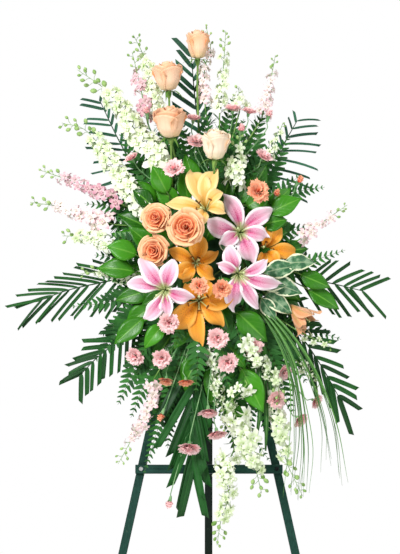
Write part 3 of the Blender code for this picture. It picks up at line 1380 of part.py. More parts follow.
rosebud_stems()
short_stems()
carnation_hearts()
palm_stems()
carnation_stems()
larkspur_stems()
bear_grass()
leaf_stems()
fern_stems()
rosebud_blooms()
open_roses()
lilies()
carnation_heads()
leaf_blades()
larkspur_florets()
palm_fronds()
fern_fronds()

for grown in Plant.all:
    grown.finish(FOAM)

cutters = [tube([first, last], [radius, radius], 4) for first, last, radius in HOLES]
foam_block = boolean(FOAM_BM, cutters, "DIFFERENCE", "MANIFOLD")
node("floral_foam", foam_block, FOAM, (0.05, 0.16, 0.07), 0.9)

# Centre the whole part over its origin, standing on the ground

bpy.context.view_layer.update()
meshes = [made for made in PARTS.objects if made.type == "MESH"]
points = [made.matrix_world @ vert.co for made in meshes for vert in made.data.vertices]
middle_x = (min(point.x for point in points) + max(point.x for point in points)) / 2
middle_y = (min(point.y for point in points) + max(point.y for point in points)) / 2
ROOT.location = (-middle_x, -middle_y, -min(point.z for point in points))
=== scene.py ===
import math
import random

import bmesh
import bpy
from mathutils import Matrix, Vector


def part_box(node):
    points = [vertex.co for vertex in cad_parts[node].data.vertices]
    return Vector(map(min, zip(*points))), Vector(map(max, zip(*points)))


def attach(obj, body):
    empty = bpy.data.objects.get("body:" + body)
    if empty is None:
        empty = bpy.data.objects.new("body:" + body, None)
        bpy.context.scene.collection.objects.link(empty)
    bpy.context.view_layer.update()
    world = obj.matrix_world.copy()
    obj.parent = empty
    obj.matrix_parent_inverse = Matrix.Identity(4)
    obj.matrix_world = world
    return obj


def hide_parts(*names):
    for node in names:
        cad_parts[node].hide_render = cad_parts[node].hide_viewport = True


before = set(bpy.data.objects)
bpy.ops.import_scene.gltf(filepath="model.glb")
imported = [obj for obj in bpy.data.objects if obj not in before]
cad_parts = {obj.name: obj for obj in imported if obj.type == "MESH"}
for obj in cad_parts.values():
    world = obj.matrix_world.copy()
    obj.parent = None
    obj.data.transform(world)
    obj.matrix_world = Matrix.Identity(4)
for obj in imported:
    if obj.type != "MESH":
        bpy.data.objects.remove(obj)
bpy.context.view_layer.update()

# The easel: two front legs, a crossbar, a head block and a folding rear leg, planed softwood laths of 18 mm.
# They are brushed with one coat of dark green oil paint, so the grain still shows through as fine ridges.
# The laths lean back against the rear leg, and two screws hold the crossbar on the front legs.


def linear(code):
    """An sRGB hex colour as Blender's linear one."""
    parts = [int(code[i:i + 2], 16) / 255 for i in (0, 2, 4)]
    return (*[part / 12.92 if part < 0.04045 else ((part + 0.055) / 1.055) ** 2.4 for part in parts], 1.0)


def add(tree, kind, feeds=None, stops=None, **settings):
    """Adds one node: feeds gives inputs a value, a hex colour or an output, stops are a ramp's colours."""
    made = tree.nodes.new("ShaderNode" + kind)
    for name, value in settings.items():
        setattr(made, name, value)
    for name, value in (feeds or {}).items():
        if isinstance(value, bpy.types.NodeSocket):
            tree.links.new(value, made.inputs[name])
        else:
            made.inputs[name].default_value = linear(value) if isinstance(value, str) else value
    if stops:
        band = made.color_ramp.elements
        band.remove(band[1])
        band[0].position, band[0].color = stops[0][0], linear(stops[0][1])
        for place, colour in stops[1:]:
            band.new(place).color = linear(colour)
    return made


def finish_named(name, **sockets):
    """A new material; sockets sets what is the same all over its surface."""
    made = bpy.data.materials.new(name)
    made.use_nodes = True
    shader = made.node_tree.nodes["Principled BSDF"]
    for socket, value in sockets.items():
        shader.inputs[socket.replace("_", " ")].default_value = value
    return made, made.node_tree, shader


def coat(tree, shader, colour, roughness, relief):
    """Links a finish's colour, roughness and relief to its shader."""
    tree.links.new(colour, shader.inputs["Base Color"])
    tree.links.new(roughness, shader.inputs["Roughness"])
    tree.links.new(relief.outputs["Normal"], shader.inputs["Normal"])


def finish_solids(finish, *names):
    """Gives solids of the frame their finish."""
    for name in names:
        for material_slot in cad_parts[name].material_slots:
            material_slot.material = finish


def painted_lath(name, light, dark, stretch):
    """Oil paint brushed thin on softwood: streaks along the lath, ridges of grain, a few rubbed flecks."""
    made, tree, shader = finish_named(name, Specular_IOR_Level=0.12)
    place = add(tree, "TexCoord").outputs["Object"]
    drawn = add(tree, "Mapping", {"Vector": place, "Scale": stretch}).outputs["Vector"]
    # Softwood grain is about 2 mm wide and runs the whole length of a lath
    grain = add(tree, "TexNoise", {"Vector": drawn, "Scale": 1.0, "Detail": 4.0, "Roughness": 0.6})
    fleck = add(tree, "TexNoise", {"Vector": place, "Scale": 210.0, "Detail": 3.0})
    streak = add(tree, "ValToRGB", {"Fac": grain.outputs["Fac"]},
                 [(0.30, dark), (0.62, light)])
    rubbed = add(tree, "MapRange", {"Value": fleck.outputs["Fac"], "From Min": 0.70, "From Max": 0.78})
    worn = add(tree, "Mix", {0: rubbed.outputs[0], 6: streak.outputs["Color"], 7: "4A5C4A"},
               data_type="RGBA")
    sheen = add(tree, "MapRange", {"Value": grain.outputs["Fac"], "To Min": 0.36, "To Max": 0.58})
    ridge = add(tree, "Bump", {"Strength": 0.35, "Distance": 0.0006, "Height": grain.outputs["Fac"]})
    coat(tree, shader, worn.outputs[2], sheen.outputs[0], ridge)
    return made


# Thin oil paint on upright laths gives a dark, slightly blue green with dull streaks up and down
leg_paint = painted_lath("brushed_green_paint_upright", "1E4338", "143029", (420.0, 420.0, 9.0))
bar_paint = painted_lath("brushed_green_paint_level", "20463C", "152F29", (9.0, 420.0, 420.0))
# The rear leg stands in the spray's shadow, so its paint is darkened nearly to black as painted shade
rear_leg_painted_shade = painted_lath("brushed_green_paint_rear_painted_shade", "14231B", "0A130E", (420.0, 420.0, 9.0))
finish_solids(leg_paint, "easel_left_leg", "easel_right_leg", "easel_head_block")
finish_solids(bar_paint, "easel_crossbar")
finish_solids(rear_leg_painted_shade, "easel_rear_leg")

# The fittings: two crossbar screws, a pressed steel butt hinge for the rear leg, a wire hook for the cage.
# The left screw is bare bright steel and the right one blackened; the hinge and the wire are zinc plated.


def plated_steel(name, light, dark, shine, scratch):
    """Rolled steel with thin plating: cloudy patches and fine scratches in its gloss."""
    made, tree, shader = finish_named(name, Metallic=1.0)
    place = add(tree, "TexCoord").outputs["Object"]
    cloud = add(tree, "TexNoise", {"Vector": place, "Scale": 240.0, "Detail": 5.0})
    drawn = add(tree, "Mapping", {"Vector": place, "Scale": (300.0, 300.0, 2600.0)}).outputs["Vector"]
    lines = add(tree, "TexNoise", {"Vector": drawn, "Scale": 1.0, "Detail": 2.0})
    colour = add(tree, "ValToRGB", {"Fac": cloud.outputs["Fac"]}, [(0.35, dark), (0.65, light)])
    gloss = add(tree, "MapRange", {"Value": lines.outputs["Fac"], "To Min": shine, "To Max": shine + scratch})
    dent = add(tree, "Bump", {"Strength": 0.2, "Distance": 0.0001, "Height": lines.outputs["Fac"]})
    coat(tree, shader, colour.outputs["Color"], gloss.outputs[0], dent)
    return made


# Bright steel reads as a small pale dot on the green bar, the blackened one as a dark dot
bright_screw = plated_steel("bright_steel_screw", "E2E4E2", "B9BDBB", 0.22, 0.2)
black_screw = plated_steel("blackened_steel_screw", "33383A", "1D2122", 0.35, 0.2)
# Zinc plating is a soft bluish grey with cloudy spangles
zinc_hinge = plated_steel("zinc_plated_hinge", "A9AFB0", "858C8F", 0.32, 0.25)
zinc_wire = plated_steel("galvanised_hook_wire", "B4B9BA", "8B9294", 0.3, 0.3)
finish_solids(bright_screw, "crossbar_screw_left")
finish_solids(black_screw, "crossbar_screw_right")
finish_solids(zinc_hinge, "hinge_fixed_leaf", "hinge_moving_leaf")
finish_solids(zinc_wire, "hanging_hook")

# The cage: a moulded green plastic tray and bars that hold a wet block of floral foam, hung from the hook.
# The foam is an open phenolic crumb, soaked dark, with a hole pushed into it by each stem.
# Both stay as they are in the solids, and leaves hide most of them.

# Moulded plastic is even, half glossy and slightly uneven, like orange peel
cage_plastic, tree, shader = finish_named("moulded_green_plastic", Specular_IOR_Level=0.5)
place = add(tree, "TexCoord").outputs["Object"]
peel = add(tree, "TexNoise", {"Vector": place, "Scale": 620.0, "Detail": 2.0})
haze = add(tree, "TexNoise", {"Vector": place, "Scale": 28.0, "Detail": 4.0})
colour = add(tree, "ValToRGB", {"Fac": haze.outputs["Fac"]}, [(0.35, "1D4A27"), (0.7, "2B6236")])
gloss = add(tree, "MapRange", {"Value": haze.outputs["Fac"], "To Min": 0.3, "To Max": 0.48})
skin = add(tree, "Bump", {"Strength": 0.15, "Distance": 0.0002, "Height": peel.outputs["Fac"]})
coat(tree, shader, colour.outputs["Color"], gloss.outputs[0], skin)

# Wet foam is a dull dark green, with cells of about 0.7 mm drawn 2 mm wide so that they show
wet_foam, tree, shader = finish_named("wet_floral_foam", Specular_IOR_Level=0.3)
place = add(tree, "TexCoord").outputs["Object"]
cells = add(tree, "TexVoronoi", {"Vector": place, "Scale": 500.0})
damp = add(tree, "TexNoise", {"Vector": place, "Scale": 35.0, "Detail": 4.0})
colour = add(tree, "ValToRGB", {"Fac": damp.outputs["Fac"]}, [(0.35, "16351C"), (0.65, "27512C")])
gloss = add(tree, "MapRange", {"Value": damp.outputs["Fac"], "To Min": 0.95, "To Max": 0.7})
pits = add(tree, "Bump", {"Strength": 0.7, "Distance": 0.0008, "Height": cells.outputs["Distance"]})
coat(tree, shader, colour.outputs["Color"], gloss.outputs[0], pits)
finish_solids(cage_plastic, "foam_cage")
finish_solids(wet_foam, "floral_foam")

# Palm fronds, eight of them: a stiff rib with leaflets in pairs, folded at their midrib like a shallow roof.
# The florist has cut their ends short and slanting, and pushed their stems into the back of the foam.
# Their places are right, up and out from the foam's middle, in centimetres, as for every plant below.

low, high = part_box("floral_foam")
MIDDLE = (low + high) / 2
FOAM_HALF_HEIGHT, FOAM_HALF_WIDTH, FOAM_HALF_DEPTH = 10.5, 4.4, 3.4
# The foam leans back with the legs, by this much outwards for each centimetre up
FOAM_LEAN = -0.19
CHANCE = random.Random(11)


def at(right, up, out):
    """A place in the frame, from centimetres to the right, up and out of the foam's middle."""
    return MIDDLE + Vector((right, -out, up)) * 0.01


def root_of(right, up, out):
    """Where a stem that heads for a place comes out of the leaning foam."""
    up = max(-FOAM_HALF_HEIGHT, min(FOAM_HALF_HEIGHT, up))
    lean = FOAM_LEAN * up
    right = max(-FOAM_HALF_WIDTH, min(FOAM_HALF_WIDTH, right))
    return at(right, up, max(lean - FOAM_HALF_DEPTH, min(lean + FOAM_HALF_DEPTH, out)))


def along_curve(points, count):
    """Points evenly far apart on one smooth curve through the given ones."""
    ends = [points[0] * 2 - points[1], *points, points[-1] * 2 - points[-2]]
    fine = []
    for a, b, c, d in zip(ends, ends[1:], ends[2:], ends[3:]):
        for step in range(12):
            t = step / 12
            fine.append(0.5 * (2 * b + (c - a) * t + (2 * a - 5 * b + 4 * c - d) * t * t
                               + (3 * b - a - 3 * c + d) * t ** 3))
    fine.append(points[-1])
    reached = [0.0]
    for first, second in zip(fine, fine[1:]):
        reached.append(reached[-1] + (second - first).length)
    row, i = [], 1
    for k in range(count):
        want = reached[-1] * k / (count - 1)
        while reached[i] < want - 1e-9:
            i += 1
        part = (want - reached[i - 1]) / max(1e-9, reached[i] - reached[i - 1])
        row.append(fine[i - 1].lerp(fine[i], part))
    return row


def length_of(row):
    """How long a row of points is."""
    return sum((b - a).length for a, b in zip(row, row[1:]))


def spot_on(row, share):
    """The point and the direction at a share of a row's length."""
    place = max(0.0, min(1.0, share)) * (len(row) - 1)
    i = min(len(row) - 2, int(place))
    return row[i].lerp(row[i + 1], place - i), (row[i + 1] - row[i]).normalized()


def graded(*sizes, times=1.0):
    """A half width or radius read from sizes that stand evenly far apart along a piece."""
    return lambda along: sizes[round(along * (len(sizes) - 1))] * times


def new_bed():
    """An empty bmesh whose sheets carry a map of themselves, and a tint for each leaf or petal."""
    bed = bmesh.new()
    bed.loops.layers.uv.new("sheet")
    bed.verts.layers.float.new("tint")
    return bed


def sheet(bed, rows, columns, shape, tint=0.5, finish=0):
    """A grid bent to shape(along, across), which gives a point; along runs 0 to 1 and across -1 to 1."""
    sheet_map, shade = bed.loops.layers.uv["sheet"], bed.verts.layers.float["tint"]
    for vert in bmesh.ops.create_grid(bed, x_segments=columns, y_segments=rows, size=0.5)["verts"]:
        across, along = 2 * vert.co.x, vert.co.y + 0.5
        for corner in vert.link_loops:
            corner[sheet_map].uv = (across / 2 + 0.5, along)
            corner.face.material_index = finish
        vert[shade] = tint
        vert.co = shape(along, across)


def strap(bed, spine, face, half, tint=0.5, columns=2, fold=0.0, ripple=None, finish=0):
    """A leaf or petal on a spine: half gives its half width, fold lifts its edges, ripple bends it."""
    last = len(spine) - 1
    frames = []
    for i in range(last + 1):
        way = (spine[min(last, i + 1)] - spine[max(0, i - 1)]).normalized()
        side = way.cross(face).normalized()
        frames.append((side, side.cross(way)))

    def shape(along, across):
        i = round(along * last)
        side, up = frames[i]
        wide = half(along)
        lift = fold * abs(across) * wide + (ripple(along, across) if ripple else 0.0)
        return spine[i] + side * (across * wide) + up * lift
    sheet(bed, last, columns, shape, tint, finish)


def stem(bed, row, thick, tint=0.5, sides=6, finish=1):
    """A round stem drawn along a row, thick(along) in radius; a radius of 0 closes an end."""
    last = len(row) - 1
    normal = (row[1] - row[0]).orthogonal()
    frames = []
    for i in range(last + 1):
        way = (row[min(last, i + 1)] - row[max(0, i - 1)]).normalized()
        normal = (normal - way * normal.dot(way)).normalized()
        frames.append((normal, way.cross(normal)))

    def shape(along, across):
        i = round(along * last)
        one, other = frames[i]
        turn = math.pi * across
        return row[i] + (one * math.cos(turn) + other * math.sin(turn)) * thick(along)
    sheet(bed, last, sides, shape, tint, finish)


def stand_in_spray(bed, name, finishes, nodes, wall=0.0):
    """Closes the seams, turns the faces outwards and puts the finished piece in place of its solids."""
    bmesh.ops.remove_doubles(bed, verts=bed.verts, dist=2e-6)
    bmesh.ops.recalc_face_normals(bed, faces=bed.faces)
    mesh = bpy.data.meshes.new(name)
    bed.to_mesh(mesh)
    bed.free()
    mesh.shade_smooth()
    for finish in finishes:
        mesh.materials.append(finish)
    made = bpy.data.objects.new(name, mesh)
    bpy.context.scene.collection.objects.link(made)
    if wall:
        skin = made.modifiers.new("leaf_wall", "SOLIDIFY")
        skin.thickness = wall
        skin.offset = 0.0
    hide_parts(*nodes)
    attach(made, "front_frame_and_spray")


def place_on_sheet(tree):
    """Across and along of a spot on its sheet, how far it is from the middle line, and the sheet's tint."""
    spot = add(tree, "SeparateXYZ", {"Vector": add(tree, "UVMap", uv_map="sheet").outputs["UV"]}).outputs
    off = add(tree, "Math", {0: spot["X"], 1: 0.5}, operation="SUBTRACT").outputs[0]
    away = add(tree, "Math", {0: off}, operation="ABSOLUTE").outputs[0]
    return spot["X"], spot["Y"], away, add(tree, "Attribute", attribute_name="tint").outputs["Fac"]


def leaf_skin(name, dark, light, rib, gloss, veins, slant, relief):
    """A leaf's skin: tint picks its green, the midrib is paler, and side veins are pressed into it."""
    made, tree, shader = finish_named(name, Specular_IOR_Level=0.3)
    across, along, away, tint = place_on_sheet(tree)
    place = add(tree, "TexCoord").outputs["Object"]
    blotch = add(tree, "TexNoise", {"Vector": place, "Scale": 60.0, "Detail": 4.0}).outputs["Fac"]
    mottle = add(tree, "Math", {0: blotch, 1: 0.5, 2: tint}, operation="MULTIPLY_ADD").outputs[0]
    shade = add(tree, "MapRange", {"Value": mottle, "From Min": 0.2, "From Max": 1.3}).outputs[0]
    midrib = add(tree, "MapRange", {"Value": away, "From Min": 0.055, "From Max": 0.02}).outputs[0]
    back = add(tree, "Math", {0: away, 1: -slant}, operation="MULTIPLY").outputs[0]
    run = add(tree, "Math", {0: along, 1: veins, 2: back}, operation="MULTIPLY_ADD").outputs[0]
    wave = add(tree, "Math", {0: run, 1: 0.5}, operation="PINGPONG").outputs[0]
    vein = add(tree, "MapRange", {"Value": wave, "From Min": 0.07, "From Max": 0.0}).outputs[0]
    green = add(tree, "Mix", {0: shade, 6: dark, 7: light}, data_type="RGBA").outputs[2]
    lines = add(tree, "Math", {0: vein, 1: 0.35, 2: midrib}, operation="MULTIPLY_ADD", use_clamp=True)
    lines = lines.outputs[0]
    lines_part = add(tree, "Math", {0: lines, 1: 0.7}, operation="MULTIPLY").outputs[0]
    colour = add(tree, "Mix", {0: lines_part, 6: green, 7: rib}, data_type="RGBA").outputs[2]
    dull = add(tree, "MapRange", {"Value": blotch, "To Min": gloss - 0.06, "To Max": gloss + 0.1}).outputs[0]
    deep = add(tree, "Math", {0: lines, 1: -1.0}, operation="MULTIPLY").outputs[0]
    pressed = add(tree, "Bump", {"Strength": relief, "Distance": 0.0008, "Height": deep})
    coat(tree, shader, colour, dull, pressed)
    return made


# Fresh palm is tough and half glossy; the upper fronds are painted a lighter, bluer green as painted light
# from above, the lower ones a deep green as painted shade under the flowers
upper_palm_painted_light = leaf_skin("palm_leaf_upper_painted_light", "123F2B", "347052", "2C6044", 0.5, 0.0, 26.0, 0.5)
lower_palm_painted_shade = leaf_skin("palm_leaf_lower_painted_shade", "083410", "1C5B1E", "265F24", 0.48, 0.0, 26.0, 0.5)


def stem_skin(name, dark, light, gloss):
    """A green stem: fine lengthwise unevenness in its colour, half dull."""
    made, tree, shader = finish_named(name, Specular_IOR_Level=0.25)
    place = add(tree, "TexCoord").outputs["Object"]
    patch = add(tree, "TexNoise", {"Vector": place, "Scale": 45.0, "Detail": 5.0}).outputs["Fac"]
    fine = add(tree, "TexNoise", {"Vector": place, "Scale": 500.0, "Detail": 2.0}).outputs["Fac"]
    colour = add(tree, "ValToRGB", {"Fac": patch}, [(0.33, dark), (0.67, light)]).outputs["Color"]
    dull = add(tree, "MapRange", {"Value": patch, "To Min": gloss, "To Max": gloss + 0.2}).outputs[0]
    skin = add(tree, "Bump", {"Strength": 0.3, "Distance": 0.0002, "Height": fine})
    coat(tree, shader, colour, dull, skin)
    return made


# A palm rib is woody and dark, a little browner than its leaflets
palm_rib = stem_skin("woody_palm_rib", "1B3A22", "335A34", 0.5)

# Each frond: the rib's route outwards, pairs, leaflet length in cm, then for the leaflets on the rib's left
# and right their spread in degrees at its foot and tip and their share of the full length; then the bare
# share of the rib, the leaflets' half width in mm, how much they shorten to the tip and how far they hang
PALMS = (
    ("palm_upper_left", ((-10.0, 15.0, 1.0), (-16.1, 19.3, 0.0), (-20.7, 26.7, -1.0), (-25.3, 36.3, -1.5)),
     12, 12.5, ((64, 50, 1.0), (42, 30, 0.40)), 0.30, 3.4, 0.62, 0.06, upper_palm_painted_light),
    ("palm_left", ((-13.0, -3.5, 2.0), (-23.5, -5.6, 2.0), (-32.5, -7.6, 1.5), (-39.0, -10.0, 1.0)),
     12, 12.5, ((42, 22, 1.0), (38, 10, 1.0)), 0.26, 3.8, 0.28, 0.08, lower_palm_painted_shade),
    ("palm_lower_left", ((-11.0, -14.0, 4.0), (-18.5, -18.0, 5.5), (-25.0, -22.5, 6.0), (-29.5, -27.0, 6.0)),
     13, 10.2, ((62, 40, 0.95), (42, 22, 1.0)), 0.22, 5.2, 0.40, 0.06, lower_palm_painted_shade),
    ("palm_bottom", ((-3.5, -19.0, 7.5), (-3.6, -31.0, 9.0), (-3.8, -40.0, 9.5), (-3.4, -47.0, 9.5)),
     8, 16.5, ((17, 9, 0.95), (31, 14, 1.05)), 0.28, 10.5, 0.18, 0.02, lower_palm_painted_shade),
    ("palm_right", ((13.0, -3.5, 1.5), (20.0, -4.6, 1.5), (28.0, -6.0, 1.5), (35.5, -7.8, 1.0)),
     12, 10.2, ((68, 34, 0.85), (58, 30, 1.05)), 0.22, 4.4, 0.15, 0.05, lower_palm_painted_shade),
    ("palm_upper_right", ((8.5, 14.5, 0.5), (12.2, 18.2, 0.0), (16.6, 25.0, -1.0), (20.5, 31.7, -1.5)),
     9, 12.0, ((42, 40, 0.55), (66, 44, 1.0)), 0.36, 3.0, 0.50, 0.16, upper_palm_painted_light),
    ("palm_lower_right", ((12.0, -11.0, 4.0), (20.0, -17.0, 5.5), (25.5, -24.5, 5.5), (29.8, -32.0, 5.5)),
     11, 10.5, ((52, 34, 0.85), (34, 12, 1.15)), 0.26, 5.6, 0.25, 0.05, lower_palm_painted_shade),
    ("palm_top", ((0.0, 18.0, -1.0), (-2.9, 34.3, -1.0), (-4.1, 47.0, -1.0)),
     9, 8.5, ((48, 34, 1.0), (40, 30, 0.6)), 0.42, 5.6, 0.30, 0.04, upper_palm_painted_light),
)
for name, route, pairs, length, hands, bare, half, taper, hang, finish in PALMS:
    bed = new_bed()
    row = along_curve([root_of(*route[0]), *[at(*point) for point in route]], 40)
    stem(bed, row, lambda share: 0.0026 - 0.0018 * share)
    for i in range(pairs):
        late = i / (pairs - 1)
        for hand in (-1, 1):
            wide_open, drawn_in, share = hands[hand > 0]
            step = min(1.0, (i + 0.3 + CHANCE.uniform(-0.22, 0.22)) / (pairs - 0.5))
            spot, way = spot_on(row, bare + (1.0 - bare) * step)
            side = way.cross(Vector((0.0, -1.0, 0.0))).normalized()
            out = side.cross(way).normalized()
            reach = length * share * 0.01 * (1.0 - taper * late) * CHANCE.uniform(0.86, 1.06)
            swing = math.radians(wide_open + (drawn_in - wide_open) * late) + CHANCE.uniform(-0.08, 0.08)
            heading = (side * (hand * math.sin(swing)) + way * math.cos(swing)
                       + out * CHANCE.uniform(-0.14, 0.10)).normalized()
            droop = hang * CHANCE.uniform(0.6, 1.4) * reach
            spine = [spot + heading * (reach * t) + Vector((0.0, 0.25, -1.0)) * (droop * t * t)
                     for t in (0.0, 0.05, 0.14, 0.3, 0.5, 0.7, 0.88, 1.0)]
            face = (out + side * CHANCE.uniform(-0.6, 0.6) + way * CHANCE.uniform(-0.4, 0.4)).normalized()
            slant = CHANCE.choice((-1, 1)) * CHANCE.uniform(0.3, 0.9) * half * 0.001
            broad = half * 0.001 * CHANCE.uniform(0.8, 1.12)
            wide = graded(0.35, 0.7, 0.95, 1.0, 1.0, 0.96, 0.9, 0.84, times=broad)
            strap(bed, spine, face, wide, CHANCE.random(), 4, 0.35)
            # The slanting cut: the last row of points is drawn out more on one side than on the other
            bed.verts.ensure_lookup_table()
            for k, vert in enumerate(bed.verts[-5:]):
                vert.co += heading * (slant * (k - 2) / 2)
    stand_in_spray(bed, name, (finish, palm_rib), [name], 0.0004)

# Leatherleaf fern, in two bunches: each frond is a thin dark rachis with pairs of cut, toothed pinnae.
# Long fronds reach out past the flowers, and short ones lie close round the foam and hide it.
# They are pushed into the foam first of all, so that the flowers stand in front of them.

# Fern is a fresh mid green with a dull, slightly leathery gloss
fern_leaf = leaf_skin("leatherleaf_fern", "12471A", "387F2E", "3F7A34", 0.55, 3.0, 4.0, 0.25)
fern_rib = stem_skin("fern_rachis", "2A4A22", "5A7A3C", 0.55)


def seed(fill):
    """A small mesh made once in a bed by fill, to be sown many times."""
    bed = new_bed()
    fill(bed)
    bmesh.ops.remove_doubles(bed, verts=bed.verts, dist=1e-5)
    bmesh.ops.recalc_face_normals(bed, faces=bed.faces)
    mesh = bpy.data.meshes.new("seed")
    bed.to_mesh(mesh)
    bed.free()
    return mesh


def sow(bed, small, matrix, tint, finish=0):
    """One copy of a small mesh joins the bed, set by matrix and given its own tint and finish."""
    copy = small.copy()
    copy.transform(matrix)
    copy.attributes["tint"].data.foreach_set("value", [tint] * len(copy.vertices))
    copy.polygons.foreach_set("material_index", [finish] * len(copy.polygons))
    bed.from_mesh(copy)
    bpy.data.meshes.remove(copy)


def lay(place, way, face, size):
    """A matrix that lays a shape's +Y along way, its +Z towards face and its foot at place."""
    way = way.normalized()
    side = way.cross(face).normalized()
    turned = Matrix((side * size, way * size, side.cross(way) * size)).transposed().to_4x4()
    turned.translation = place
    return turned


def cut_pinna(bed):
    """One pinna, 1 long: toothed pinnules in pairs on a thin midrib, shorter towards its tip."""
    face = Vector((0.0, 0.0, 1.0))
    for i in range(9):
        late = i / 9
        foot = Vector((0.0, 0.08 + 0.84 * late, 0.0))
        for hand in (-1, 1):
            way = Vector((hand * 0.82, 0.57, 0.06))
            long = 0.25 * (1.0 - 0.72 * late ** 1.3)
            spine = [foot + way * (long * t) for t in (0.0, 0.45, 1.0)]
            strap(bed, spine, face, graded(0.050, 0.088, 0.024, times=0.5 + 2.0 * long), 0.5, 2, 0.3)
    midrib = [Vector((0.0, t, 0.0)) for t in (0.0, 0.5, 1.0)]
    strap(bed, midrib, face, lambda along: 0.014 * (1.1 - along), 0.5, 1)


pinna = seed(cut_pinna)
# Pinnae stand this far apart on the leafy share of a rachis, above its bare share
PINNA_STEP, BARE, LEAFY = 0.0135, 0.22, 0.78

